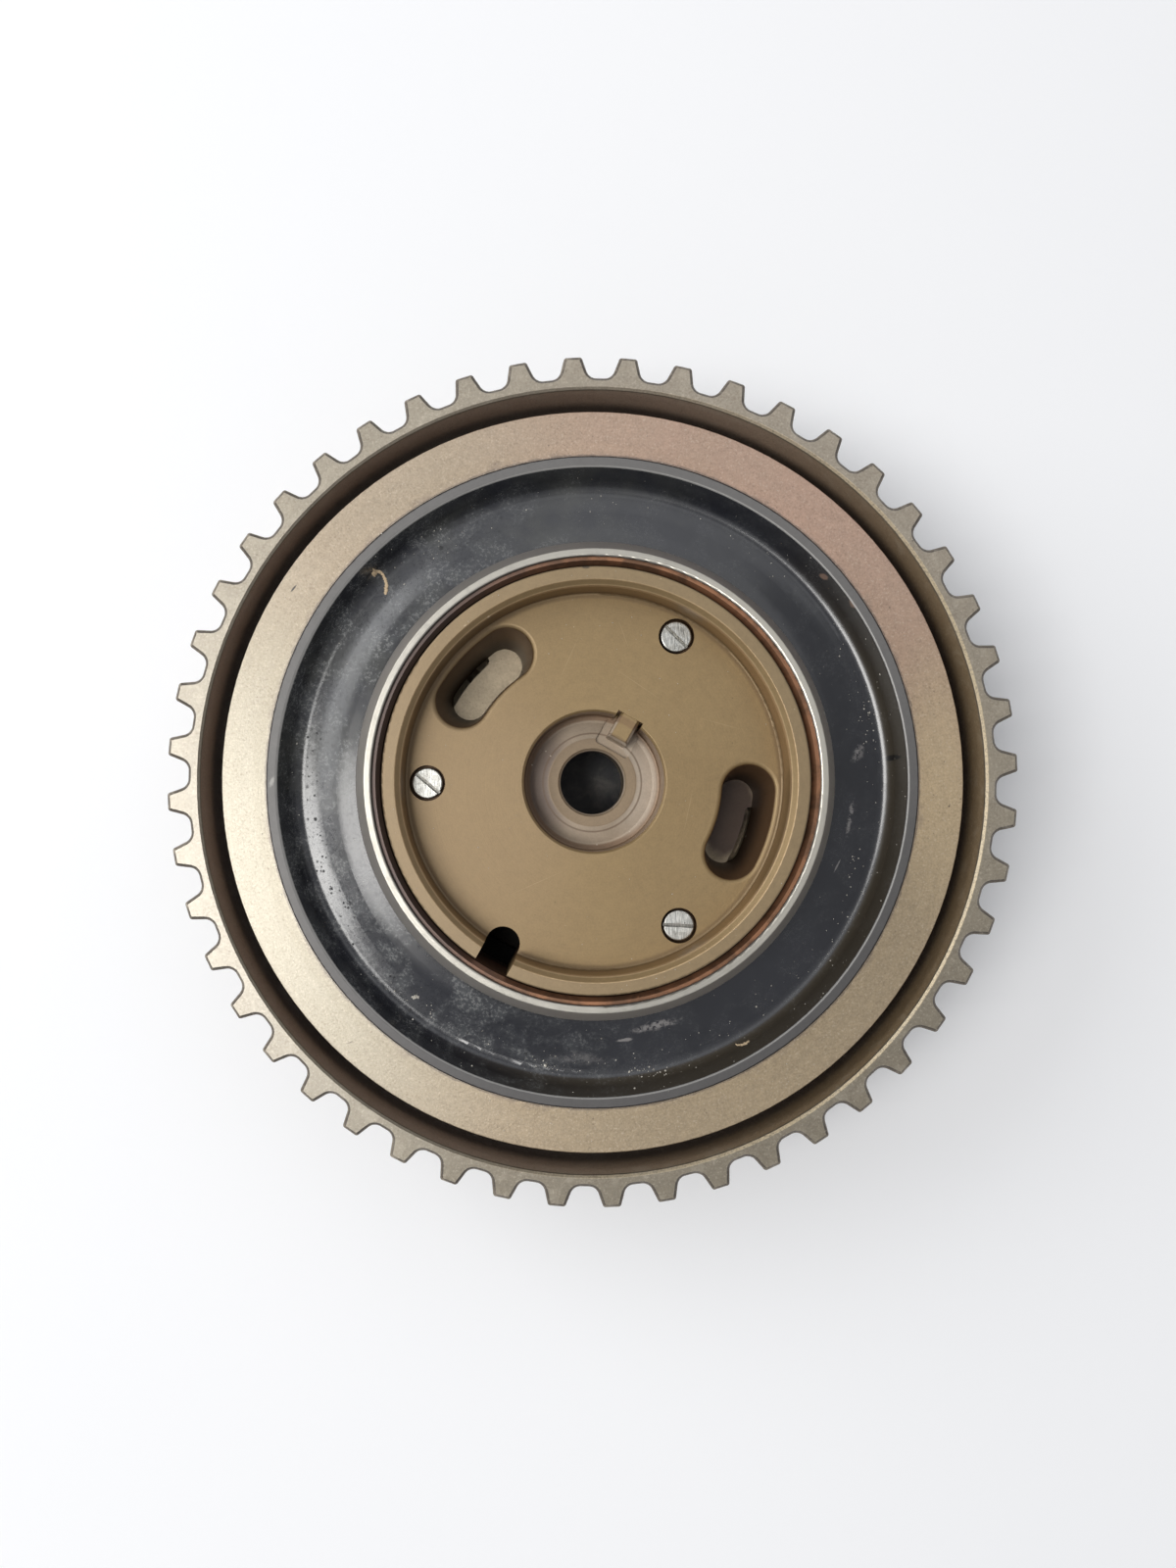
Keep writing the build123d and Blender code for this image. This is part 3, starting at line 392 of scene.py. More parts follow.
def anodised_wheel():
    """Toothed wheel: hard anodised aluminium, tan with rose and gold casts and a granular skin, with painted
    light
    and shade: dark cut edges, pale highlight lines, faces darker or paler by side, and shade deep in the
    moat."""
    f = Finish("anodised_wheel", Coat_Roughness=0.30, Coat_IOR=1.65)
    net = f.net
    f.colour = srgb(182, 163, 138)
    f.lay(f.toward(50.0, 0.35, 0.95), srgb(184, 150, 130), 0.9)
    f.lay(f.toward(312.0, 0.0, 1.0), srgb(172, 152, 120), 0.85)
    f.lay(f.toward(150.0, 0.55, 0.95), srgb(164, 148, 126), 0.6)
    f.lay(f.clouds(45.0, 0.55, 0.2), srgb(158, 142, 118), 0.25)
    f.lay(f.toward(198.0, 0.45, 1.0), srgb(168, 161, 141), 0.85)
    # Painted light: a paler patch on the plate's right side.
    f.lay(f.mark(49.5, 0.0, 9.0, 26.0, 0.0, 0.95), srgb(206, 182, 142), 0.6)
    rim = f.ring(55.6, 62.0, 0.2)
    # Painted shade: the rim face darker towards the bottom.
    rim_tone_and_shade = f.paint(srgb(158, 149, 132), f.toward(285.0, 0.2, 0.9), srgb(132, 124, 108), 0.8)
    f.lay(rim, rim_tone_and_shade, 0.9)

    moat = f.where(f.ring(52.3, 56.05, 0.1), f.past(PLATE_FACE - 0.05, PLATE_FACE - 0.4))
    # Painted light and shade: the moat paler on the left and darker brown on the right.
    f.lay(moat, net.blend(f.toward(345.0, -0.2, 0.9), srgb(182, 160, 142), srgb(146, 124, 94)), 0.92)
    # Painted shade: the moat dark deep down.
    f.lay(f.where(moat, f.past(28.6, 25.6)), srgb(72, 60, 54), 0.92)

    teeth = f.ring(56.35, 61.5, 0.03)
    # Painted shade: the chamfer round the tooth faces painted dark. It also gets a thinner coat and more
    # roughness.
    shaded_cut_edge = f.where(teeth, f.level(RIM_FACE - 0.8, RIM_FACE - 0.015, 0.012))
    f.lay(shaded_cut_edge, srgb(84, 76, 67), 0.95)
    # Painted highlight: a pale line along the chamfer of the tooth faces.
    tooth_chamfer_highlight = f.where(teeth, f.level(RIM_FACE - 0.4, RIM_FACE - 0.28, 0.03, 0.12, 700.0))
    f.lay(tooth_chamfer_highlight, srgb(176, 165, 148), 0.30)
    # Painted shade: a dark line where the tooth faces meet their chamfer.
    face_border_shade = f.where(teeth, f.level(RIM_FACE - 0.045, RIM_FACE - 0.008, 0.008))
    f.lay(face_border_shade, srgb(84, 76, 66), 0.45)
    flank = f.where(f.ring(56.6, 61.5, 0.05), f.past(RIM_FACE - 0.7, RIM_FACE - 1.1))
    f.lay(flank, srgb(150, 136, 114), 0.5)
    rubbed_tip = f.where(f.ring(60.15, 61.0, 0.1), f.clouds(420.0, 0.45, 0.12))
    f.lay(rubbed_tip, srgb(196, 188, 172), 0.35)
    belt_dirt = f.where(f.ring(56.9, 58.6, 0.3), f.past(RIM_FACE - 0.8, RIM_FACE - 1.4))
    f.lay(f.where(belt_dirt, f.clouds(150.0, 0.6, 0.2)), srgb(78, 70, 60), 0.5)

    border = f.where(f.ring(46.25, 46.62, 0.05, 0.7, 520.0), f.past(PLATE_FACE - 0.2, PLATE_FACE - 0.1))
    f.lay(border, srgb(84, 74, 70), 0.55)
    stain = f.where(f.ring(46.3, 47.2, 0.3, 2.2, 260.0), f.clouds(240.0, 0.35, 0.1))
    f.lay(stain, srgb(128, 112, 100), 0.35)
    black_nick = f.mark(-42.5, 27.6, 0.75, 0.16, 50.0, 0.4, 0.8, 1800.0)
    f.lay(black_nick, srgb(34, 32, 36), 0.95)
    small_hole = f.mark(50.7, -3.4, 0.16, 0.14, 0.0, 0.5)
    f.lay(small_hole, srgb(44, 36, 30), 0.9)
    faint_nick = f.mark(-34.5, -37.0, 0.5, 0.12, 20.0, 0.5, 0.6)
    f.lay(faint_nick, srgb(90, 76, 66), 0.6)

    grain = f.grain(3300.0, 0.62)
    arcs = f.marks(0.9, 0.16, 2.6)
    marks = f.marks(5.0, 0.10)
    f.vary(grain["Shade"], marks["Shade"], arcs["Shade"])
    f.lay(f.dots(1300.0, 0.20, 0.12), srgb(98, 80, 64), 0.45)
    f.lay(f.dots(640.0, 0.10, 0.06), srgb(60, 50, 44), 0.55)
    f.lay(f.dots(900.0, 0.09, 0.05), srgb(232, 224, 206), 0.5)
    sand = net.noise(f.place, 3100.0, 2.0, 0.8)
    sand_patches = net.scaled(f.clouds(190.0, 0.5, 0.2), 0.6, 0.4)
    dark_sand = f.where(net.rise(sand, 0.47, 0.34), sand_patches)
    f.lay(dark_sand, srgb(118, 102, 86), 0.34)
    f.lay(net.rise(sand, 0.56, 0.70), srgb(230, 216, 194), 0.28)
    # Painted highlight: a cream line on the rim's inner edge, on its right side.
    rim_inner_highlight = f.where(f.ring(55.7, 56.2, 0.04), f.past(RIM_FACE - 0.34, RIM_FACE - 0.26),
                         f.toward(350.0, -0.3, 0.7), net.rise(sand, 0.36, 0.54, 0.35, 1.0))
    f.lay(rim_inner_highlight, srgb(226, 206, 168), 0.72)
    scuffed = f.where(rim, f.clouds(330.0, 0.30, 0.06))
    f.lay(scuffed, srgb(196, 186, 168), 0.22)

    coat = f.thin(1.0, dark_sand, 0.45)
    coat = f.thin(coat, shaded_cut_edge, 0.75)
    coat = f.thin(coat, f.clouds(120.0, 0.45, 0.22), 0.16)
    rubbed_ring = f.ring(46.5, 48.3, 0.7, 1.6, 200.0)
    net.put(f.shader.inputs["Coat Weight"], f.thin(coat, rubbed_ring, 0.22))
    metallic = net.between(moat, 0.55, 0.12)
    roughness = net.scaled(grain["Height"], 0.26, 0.30)
    roughness = net.scaled(shaded_cut_edge, 0.12, roughness)
    heights = [(grain["Height"], 0.45, 0.07), (marks["Height"], 0.2, 0.04)]
    return f.close(roughness, heights, metallic)


def black_cover():
    """Rear cover: gloss black coating, dusty, with a grey lip and a bare neck; wear and painted highlight
    give one side a mottled grey, and painted light and shade add highlight lines, a brown reflection on the
    outer wall and dark hollows."""
    f = Finish("black_cover", Coat_Roughness=0.24, Coat_IOR=1.55)
    net = f.net
    cloud = f.clouds(60.0, 0.5, 0.2)
    f.colour = net.blend(cloud, srgb(30, 31, 36), srgb(40, 41, 47))
    left = f.toward(190.0, -0.25, 0.75)
    # Wear and painted highlight: lighter grey patches, mostly on the left.
    wear_and_sheen = f.where(f.clouds(210.0, 0.42, 0.10), net.scaled(left, 0.85, 0.15))
    f.lay(wear_and_sheen, srgb(80, 82, 84), 0.6)
    film = f.where(f.clouds(95.0, 0.42, 0.16), f.toward(140.0, -0.2, 0.9))
    f.lay(film, srgb(84, 84, 76), 0.38)
    wall = f.where(f.ring(42.9, 45.1, 0.2), f.past(PLATE_FACE - 0.1, PLATE_FACE - 0.3))
    # Dust and painted reflection: the outer wall brown on its right side.
    wall_dust_and_reflection = f.where(wall, f.toward(325.0, -0.1, 0.8))
    f.lay(wall_dust_and_reflection, srgb(66, 58, 44), 0.75)
    f.lay(f.where(wall, f.dots(1500.0, 0.16, 0.16)), srgb(112, 98, 76), 0.6)
    # Painted shade: darker round the foot of the neck.
    neck_foot_shade = f.where(f.ring(33.2, 34.3, 0.25, 0.8, 300.0), f.past(PLATE_FACE - 0.6, PLATE_FACE - 1.2))
    f.lay(neck_foot_shade, srgb(22, 22, 24), 0.6)

    speckle = net.noise(f.place, 2100.0, 3.0, 0.75)
    # Painted highlight and wear: pale silver mottling within the patches on the left.
    mottled = f.where(net.rise(speckle, 0.50, 0.62), wear_and_sheen)
    f.lay(mottled, srgb(134, 134, 132), 0.55)
    large_pits = f.where(f.dots(820.0, 0.30, 0.35), f.ring(38.5, 42.6, 0.6), left,
                         f.clouds(170.0, 0.45, 0.06))
    small_pits = f.where(f.dots(1500.0, 0.30, 0.45), f.ring(39.2, 42.4, 0.5), f.toward(197.0, 0.55, 0.95),
                         f.clouds(260.0, 0.6, 0.06))
    pits = net.most(large_pits, small_pits)
    f.lay(pits, srgb(14, 14, 16), 0.9)

    long_scuff = f.where(f.mark(9.2, -35.0, 4.2, 0.85, 14.0, 0.7, 1.6, 900.0), f.clouds(1500.0, 0.55, 0.08))
    short_scuff = f.mark(4.7, -37.2, 1.5, 0.32, 8.0, 0.6, 1.3, 1500.0)
    side_scuff = f.where(f.mark(37.4, -5.0, 3.7, 0.5, 80.0, 0.7, 1.5, 900.0), f.clouds(1500.0, 0.5, 0.08))
    side_streak = f.mark(35.5, -12.0, 1.3, 0.16, 62.0, 0.6, 0.8)
    side_cloud = f.where(f.mark(38.5, 4.3, 1.7, 1.0, 60.0, 0.8, 1.4, 700.0), f.clouds(1800.0, 0.5, 0.1))
    low_cloud = f.where(f.mark(-2.0, -40.0, 6.0, 1.2, 0.0, 0.8, 1.8, 300.0), f.clouds(900.0, 0.5, 0.12), 0.4)
    scuffs = net.most(long_scuff, short_scuff, side_scuff, side_streak, side_cloud, low_cloud)
    f.lay(scuffs, srgb(158, 154, 152), 0.72)
    chips = net.most(f.mark(33.2, 29.5, 0.75, 0.26, 140.0, 0.4, 0.4),
                     f.mark(37.1, 25.5, 0.95, 0.42, 120.0, 0.4, 0.4))
    f.lay(chips, srgb(132, 108, 94), 0.8)
    black_spot = f.mark(43.4, 3.6, 1.0, 0.45, 10.0, 0.25, 0.3)
    f.lay(black_spot, srgb(16, 15, 15), 0.9)

    dust = net.plus(f.dots(760.0, 0.11, 0.10), f.dots(1700.0, 0.15, 0.10), clamp=True)
    f.lay(dust, srgb(158, 152, 142), 0.62)

    lip_height = f.past(PLATE_FACE - 0.25, PLATE_FACE - 0.1)
    lip = f.where(f.ring(44.95, 46.6, 0.06, 0.12, 700.0), lip_height)
    # The lip's grey, with painted shade: darker towards the bottom.
    grey = net.blend(f.toward(290.0, -0.2, 0.95), srgb(116, 114, 112), srgb(94, 92, 91))
    f.lay(lip, f.shade(grey, f.grain(2200.0, 0.35)["Shade"]), 0.92)
    # Painted highlight: a pale line on the lip's inner edge.
    lip_edge_highlight = f.where(f.ring(44.85, 45.08, 0.03, 0.10, 900.0), lip_height)
    f.lay(lip_edge_highlight, srgb(176, 174, 170), 0.55)
    lip_border = f.where(f.ring(46.22, 46.7, 0.04, 0.30, 900.0), lip_height)
    f.lay(lip_border, srgb(40, 36, 38), 0.7)
    lip_rub = f.mark(-45.6, 0.1, 1.1, 0.4, 70.0, 0.7, 0.8)
    f.lay(lip_rub, srgb(176, 174, 168), 0.6)

    flank = f.where(f.ring(30.9, 32.7, 0.04), f.level(NECK_END - 2.6, NECK_END - 0.08, 0.15))
    end_height = f.past(NECK_END - 0.3, NECK_END - 0.12)
    crown = f.where(f.ring(29.9, 31.15, 0.05, 0.22, 520.0), end_height)
    marks = f.marks(10.0, 0.55, 2.2)
    fine = f.marks(22.0, 0.35, 5.0)
    steel = f.shade(f.shade(srgb(190, 186, 176), marks["Shade"]), fine["Shade"])
    worn_steel_and_highlight = f.paint(steel, f.clouds(420.0, 0.25, 0.14), srgb(120, 116, 110), 0.25)
    inner_line = f.where(f.ring(29.95, 30.22, 0.02, 0.06, 900.0), end_height)
    # Painted highlight: the neck's end paler towards the right.
    worn_steel_and_highlight = f.paint(worn_steel_and_highlight, f.toward(0.0, 0.2, 1.0), srgb(226, 220, 206), 0.5)
    worn_steel_and_highlight = f.paint(worn_steel_and_highlight, inner_line, srgb(62, 56, 52), 0.7)
    f.lay(flank, f.shade(srgb(138, 134, 130), marks["Shade"]), 0.8)
    f.lay(crown, worn_steel_and_highlight)
    bare = net.plus(crown, net.times(flank, 0.55), clamp=True)
    metallic = net.scaled(lip, 0.30, net.times(bare, 0.85))

    # Painted shade: nearly black inside the neck, deep down.
    inside = f.where(f.ring(AXIS, 30.5, 0.05), f.past(30.0, 29.0))
    f.lay(inside, srgb(9, 8, 8), 0.97)
    worn_through = f.where(left, net.rise(speckle, 0.50, 0.36), 0.65)
    dull = net.most(scuffs, dust, lip, bare, pits, chips, inside, worn_through)
    coat = f.thin(net.minus(1.0, dull, clamp=True), wall_dust_and_reflection, 0.6)
    foot_film = f.where(f.ring(33.4, 37.6, 0.7, 1.2, 240.0), left)
    net.put(f.shader.inputs["Coat Weight"], f.thin(coat, foot_film, 0.5))
    roughness = net.scaled(cloud, 0.06, 0.20)
    roughness = net.scaled(net.times(mottled, speckle), 0.35, roughness)
    roughness = net.between(wall_dust_and_reflection, roughness, 0.42)
    roughness = net.between(lip, roughness, 0.48)
    roughness = net.between(bare, roughness, 0.36)
    roughness = net.most(roughness, net.times(net.most(pits, scuffs), 0.6))
    roughness = net.between(inside, roughness, 0.95)
    skin = f.grain(1500.0, 0.2)
    waves = net.noise(f.place, 260.0, 2.0, 0.5)
    heights = [(skin["Height"], 0.10, 0.05), (waves, 0.35, 0.12), (pits, 0.5, 0.06),
               (marks["Height"], net.times(bare, 0.35), 0.04)]
    return f.close(roughness, heights, metallic)


def turned_bronze():
    """Neck bush: darkened bronze with turning marks and coppery specks, with painted shade that makes it
    greyer and darker on its left.
    """
    f = Finish("turned_bronze", metallic=0.8)
    marks = f.marks(7.0, 0.4, 2.4)
    f.colour = f.net.blend(f.clouds(260.0, 0.45, 0.12), srgb(168, 122, 92), srgb(122, 92, 72))
    f.lay(f.dots(900.0, 0.16, 0.14), srgb(206, 150, 112), 0.5)
    # Painted shade: greyer and darker on the left.
    f.lay(f.toward(175.0, 0.0, 0.8), srgb(94, 86, 84), 0.92)
    f.vary(marks["Shade"])
    return f.close(0.42, [(marks["Height"], 0.3, 0.04)])


def anodised_disc():
    """Hub disc: matte tan anodised aluminium with turned rings and a paler recess, with painted light and
    shade:
    lighter on the left, shadow and sheen in the recess, shade in hollows and corners, highlights and glints
    on the rim's edges.
    """
    f = Finish("anodised_disc", metallic=0.55, Coat_Weight=0.35, Coat_Roughness=0.4)
    net = f.net
    f.colour = srgb(149, 126, 88)
    f.lay(f.clouds(70.0, 0.5, 0.2), srgb(138, 115, 79), 0.45)
    # Painted light: paler towards the left.
    f.lay(f.toward(190.0, 0.0, 1.0), srgb(153, 130, 100), 0.5)

    below = f.past(DISC_FLOOR - 0.15, DISC_FLOOR - 0.4)
    recess = f.where(f.ring(AXIS, 9.85, 0.05), f.past(DISC_FLOOR - 0.3, DISC_FLOOR - 0.5))
    recess_wall = f.where(f.ring(8.9, 9.9, 0.15), below)
    f.lay(recess, srgb(170, 155, 138), 0.8)
    # Painted shadow: the recess floor dark on its left.
    recess_shadow = f.where(recess, f.ring(6.0, 10.0, 0.9), f.toward(180.0, 0.35, 0.95))
    f.lay(recess_shadow, srgb(92, 76, 68), 0.8)
    # Painted shade: the recess wall darker brown.
    f.lay(recess_wall, srgb(120, 92, 66), 0.75)
    sheen = f.where(recess, f.ring(6.4, 9.3, 0.3), f.toward(0.0, 0.3, 1.0))
    f.lay(sheen, srgb(214, 202, 186), 0.55)
    boss = f.where(f.ring(AXIS, 6.3, 0.05), f.level(31.45, 32.1, 0.05))
    f.lay(boss, srgb(138, 118, 92), 0.8)
    turned_lines = f.where(f.ring(6.9, 7.15, 0.05), below)
    f.lay(turned_lines, srgb(104, 82, 62), 0.6)
    # Painted shade: the bore's wall dark.
    bore = f.where(f.ring(AXIS, 4.75, 0.05), f.past(31.3, 31.0))
    f.lay(bore, srgb(70, 62, 54), 0.8)

    # Painted shade: walls below the disc floor darker brown, nearly black deep down.
    slots = f.where(f.ring(10.4, 27.0, 0.1), below)
    f.lay(slots, srgb(98, 70, 46), 0.9)
    deep = f.where(f.ring(10.4, 30.0, 0.1), f.past(34.5, 29.5))
    f.lay(deep, srgb(44, 31, 22), 0.85)

    # Painted shade: the rim's inner wall darker and browner, darker still in the corner at its foot.
    wall = f.where(f.ring(25.6, 27.2, 0.15), f.level(DISC_FLOOR + 0.3, DISC_RIM - 0.9, 0.2))
    f.lay(wall, srgb(134, 104, 68), 0.65)
    corner = f.where(f.ring(25.4, 26.6, 0.25), f.level(DISC_FLOOR - 0.1, DISC_FLOOR + 0.45, 0.15))
    f.lay(corner, srgb(92, 72, 50), 0.5)
    # Painted highlights: pale lines along the rim's inner edge.
    rim_step_highlight = f.where(f.ring(26.9, 27.06, 0.02, 0.05, 900.0), f.past(DISC_RIM - 0.5, DISC_RIM - 0.3))
    f.lay(rim_step_highlight, srgb(196, 166, 126), 0.55)
    rim_edge_highlight = f.where(f.ring(26.2, 26.42, 0.03, 0.06, 900.0), f.level(DISC_RIM - 1.6, DISC_RIM - 0.6, 0.1))
    f.lay(rim_edge_highlight, srgb(206, 178, 140), 0.5)
    glints = f.where(f.ring(26.1, 27.2, 0.1), f.past(DISC_RIM - 1.2, DISC_RIM - 0.9),
                     f.dots(620.0, 0.20, 0.10))
    f.lay(glints, srgb(236, 218, 186), 0.7)
    rim_top = f.where(f.ring(27.0, 29.0, 0.1), f.past(DISC_RIM - 0.3, DISC_RIM - 0.1))
    f.lay(rim_top, srgb(146, 128, 102), 0.5)
    outer_edge = f.ring(28.62, 29.2, 0.03, 0.08, 900.0)
    f.lay(outer_edge, srgb(70, 56, 44), 0.55)
    smudge = f.mark(-1.4, 28.55, 0.75, 0.3, 0.0, 0.6, 1.0, 1400.0)
    f.lay(smudge, srgb(66, 60, 54), 0.75)

    scratches = (
        (-3.5, 17.0, 4.5, 0.05, 66.0), (6.0, 13.5, 6.0, 0.045, -34.0), (13.0, -4.0, 4.0, 0.05, 78.0),
        (-8.0, -14.0, 5.0, 0.045, 24.0), (4.0, 20.5, 3.0, 0.05, -70.0), (17.5, 8.0, 3.5, 0.045, -15.0))
    hairs = net.most(*(f.mark(*scratch, soft=0.7) for scratch in scratches))
    f.lay(hairs, srgb(190, 166, 128), 0.35)

    grain = f.grain(3400.0, 0.5)
    marks = f.marks(6.0, 0.12, 3.0)
    f.vary(grain["Shade"], marks["Shade"])
    f.lay(f.dots(1100.0, 0.13, 0.05), srgb(80, 64, 48), 0.45)
    f.lay(f.dots(700.0, 0.06, 0.03), srgb(220, 202, 170), 0.6)
    # Flecks and painted glints: pale specks on the recess floor.
    fleck_glints = f.where(f.ring(6.3, 9.2, 0.2), below, f.dots(1500.0, 0.2, 0.12))
    f.lay(fleck_glints, srgb(222, 212, 196), 0.55)
    roughness = net.scaled(grain["Height"], 0.2, 0.40)
    return f.close(roughness, [(grain["Height"], 0.35, 0.05), (marks["Height"], 0.25, 0.04)])


def bright_zinc():
    """Hub screws: bright zinc plating with fine scratches."""
    f = Finish("bright_zinc", metallic=0.95)
    net = f.net
    scratches = f.streaks((7000.0, 600.0, 2000.0), 5.0, 0.7, turn=0.7)
    f.colour = net.blend(net.rise(scratches, 0.3, 0.7), srgb(150, 151, 148), srgb(236, 235, 228))
    f.lay(f.clouds(900.0, 0.4, 0.1), srgb(120, 112, 96), 0.35)
    f.lay(f.dots(1600.0, 0.25, 0.15), srgb(74, 70, 62), 0.5)
    # Painted shade: darker down in the screw slot.
    slot = f.past(DISC_FLOOR - 0.55, DISC_FLOOR - 0.75)
    f.lay(slot, srgb(96, 90, 80), 0.6)
    return f.close(net.scaled(scratches, 0.25, 0.24), [(scratches, 0.5, 0.05)])


def rotor_metal():
    """Rotor: granular grey tan sintered metal, with painted shadow, dark brown on the floor under the right
    kidney, and painted shade, nearly black under the notch."""
    f = Finish("rotor_metal", Coat_Roughness=0.3)
    net = f.net
    grain = f.grain(2600.0, 1.2)
    f.colour = net.blend(f.clouds(120.0, 0.5, 0.2), srgb(176, 160, 134), srgb(156, 142, 118))
    f.vary(grain["Shade"])
    f.lay(f.dots(2200.0, 0.25, 0.3), srgb(66, 58, 48), 0.5)
    f.lay(f.dots(1800.0, 0.22, 0.2), srgb(206, 196, 172), 0.4)
    # Painted shadow: dark brown on the floor under the right kidney.
    oil = f.mark(20.3, -4.6, 7.5, 4.2, 76.0, 0.35, 0.3, 300.0)
    f.lay(oil, srgb(56, 34, 21), 0.94)
    # Painted shade: nearly black and rough under the notch.
    notch_shade = f.mark(-11.6, -20.4, 8.0, 4.2, 60.4, 0.3, 0.2, 300.0)
    f.lay(notch_shade, srgb(9, 8, 8), 0.98)
    unshaded = net.minus(1.0, net.most(notch_shade, net.times(oil, 0.8)), clamp=True)
    net.put(f.shader.inputs["Coat Weight"], net.times(unshaded, 0.3))
    roughness = net.between(notch_shade, 0.42, 0.95)
    return f.close(roughness, [(grain["Height"], 0.5, 0.06)], net.times(unshaded, 0.45))


def cast_cover():
    """Front cover: die cast aluminium with a fine cast skin, turned on its boss."""
    f = Finish("cast_cover", metallic=0.8)
    net = f.net
    grain = f.grain(1500.0, 0.3)
    marks = f.marks(4.0, 0.2)
    turned = f.past(0.6, 0.2)
    f.colour = net.blend(f.clouds(60.0, 0.5, 0.2), srgb(168, 166, 160), srgb(150, 148, 142))
    f.vary(grain["Shade"])
    f.lay(turned, f.shade(srgb(196, 194, 188), marks["Shade"]))
    f.lay(f.clouds(35.0, 0.3, 0.15), srgb(106, 98, 84), 0.3)
    heights = [(grain["Height"], 0.5, 0.08), (marks["Height"], net.times(turned, 0.4), 0.04)]
    return f.close(net.between(turned, 0.52, 0.34), heights)


def blackened_steel():
    """Cover bolts and closing plug: blackened steel, cloudy and finely grained."""
    f = Finish("blackened_steel", metallic=0.8)
    grain = f.grain(2500.0, 0.4)
    f.colour = f.net.blend(f.clouds(300.0, 0.4, 0.15), srgb(66, 66, 68), srgb(88, 86, 84))
    f.vary(grain["Shade"])
    return f.close(0.4, [(grain["Height"], 0.25, 0.04)])


def black_rubber():
    """Ring seals and the plug's washer: oil-proof rubber, matte and faintly mottled."""
    f = Finish("black_rubber")
    grain = f.grain(1800.0, 0.5)
    f.colour = f.shade(srgb(38, 38, 38), grain["Shade"])
    return f.close(0.62, [(grain["Height"], 0.3, 0.05)])


def brown_plastic():
    """Seal bars: dark brown bearing plastic with fine moulding grain."""
    f = Finish("brown_plastic")
    grain = f.grain(2800.0, 0.5)
    f.colour = f.shade(srgb(86, 64, 44), grain["Shade"])
    return f.close(0.5, [(grain["Height"], 0.3, 0.04)])


def spring_steel():
    """Leaf and coil springs: drawn steel with long fine streaks."""
    f = Finish("spring_steel", metallic=0.9)
    streak = f.streaks((5000.0, 5000.0, 400.0), 3.0, 0.6)
    f.colour = f.net.blend(streak, srgb(120, 120, 118), srgb(180, 178, 172))
    return f.close(0.32, [(streak, 0.2, 0.03)])


def ground_steel():
    """Lock pin, its seat and retainer, and the dowels: ground hardened steel."""
    f = Finish("ground_steel", metallic=0.92)
    grind = f.streaks((900.0, 900.0, 9000.0), 3.0, 0.6)
    f.colour = f.net.blend(grind, srgb(150, 150, 150), srgb(196, 196, 192))
    return f.close(0.26, [(grind, 0.2, 0.03)])


finishes = {
    "sprocket_body": anodised_wheel(),
    "rear_cover": black_cover(),
    "neck_bush": turned_bronze(),
    "hub_disc": anodised_disc(),
    "rotor": rotor_metal(),
    "front_cover": cast_cover(),
}
zinc, steel, rubber = bright_zinc(), blackened_steel(), black_rubber()
plastic, spring, ground = brown_plastic(), spring_steel(), ground_steel()
for name, part in nodes.items():
    if name in finishes:
        material = finishes[name]
    elif name.startswith("hub_screw"):
        material = zinc
    elif name.startswith("cover_bolt") or name == "closing_plug":
        material = steel
    elif name in ("front_cover_seal", "rear_cover_seal", "plug_washer"):
        material = rubber
    elif "spring" in name:
        material = spring
    elif "seal" in name:
        material = plastic
    else:
        material = ground
    part.data.materials.clear()
    part.data.materials.append(material)


def pale_dust():
    """Dust grains: pale mineral grit, each a little lighter or darker than the next."""
    f = Finish("pale_dust")
    tone = f.net.noise(f.place, 900.0, 2.0, 0.5)
    f.colour = f.net.blend(tone, srgb(148, 140, 128), srgb(232, 228, 218))
    return f.close(0.7)


def tan_residue():
    """Dried sealant crumb: light tan, granular and matte."""
    f = Finish("tan_residue")
    grain = f.grain(3000.0, 0.8)
    f.colour = f.shade(srgb(214, 190, 156), grain["Shade"])
    return f.close(0.75, [(grain["Height"], 0.5, 0.06)])


def new_mesh(name, points, faces, material, body):
    """Mesh object from points in metres and faces, smooth shaded, riding on a body."""
    mesh = bpy.data.meshes.new(name)
    mesh.from_pydata(points.tolist(), [], faces.tolist())
    mesh.polygons.foreach_set("use_smooth", np.ones(len(mesh.polygons), dtype=bool))
    mesh.materials.append(material)
    made = bpy.data.objects.new(name, mesh)
    bpy.context.scene.collection.objects.link(made)
    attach(made, body)
    return made


def top_profile(name, lowest):
    """Radii and heights of a turned node's upper side: its points above a level, put in order of radius."""
    mesh = nodes[name].data
    flat = np.empty(len(mesh.vertices) * 3)
    mesh.vertices.foreach_get("co", flat)
    points = flat.reshape(-1, 3) / MM
    points = points[points[:, 2] > lowest]
    radius = np.hypot(points[:, 0], points[:, 1])
    order = np.argsort(radius)
    return radius[order], points[order, 2]


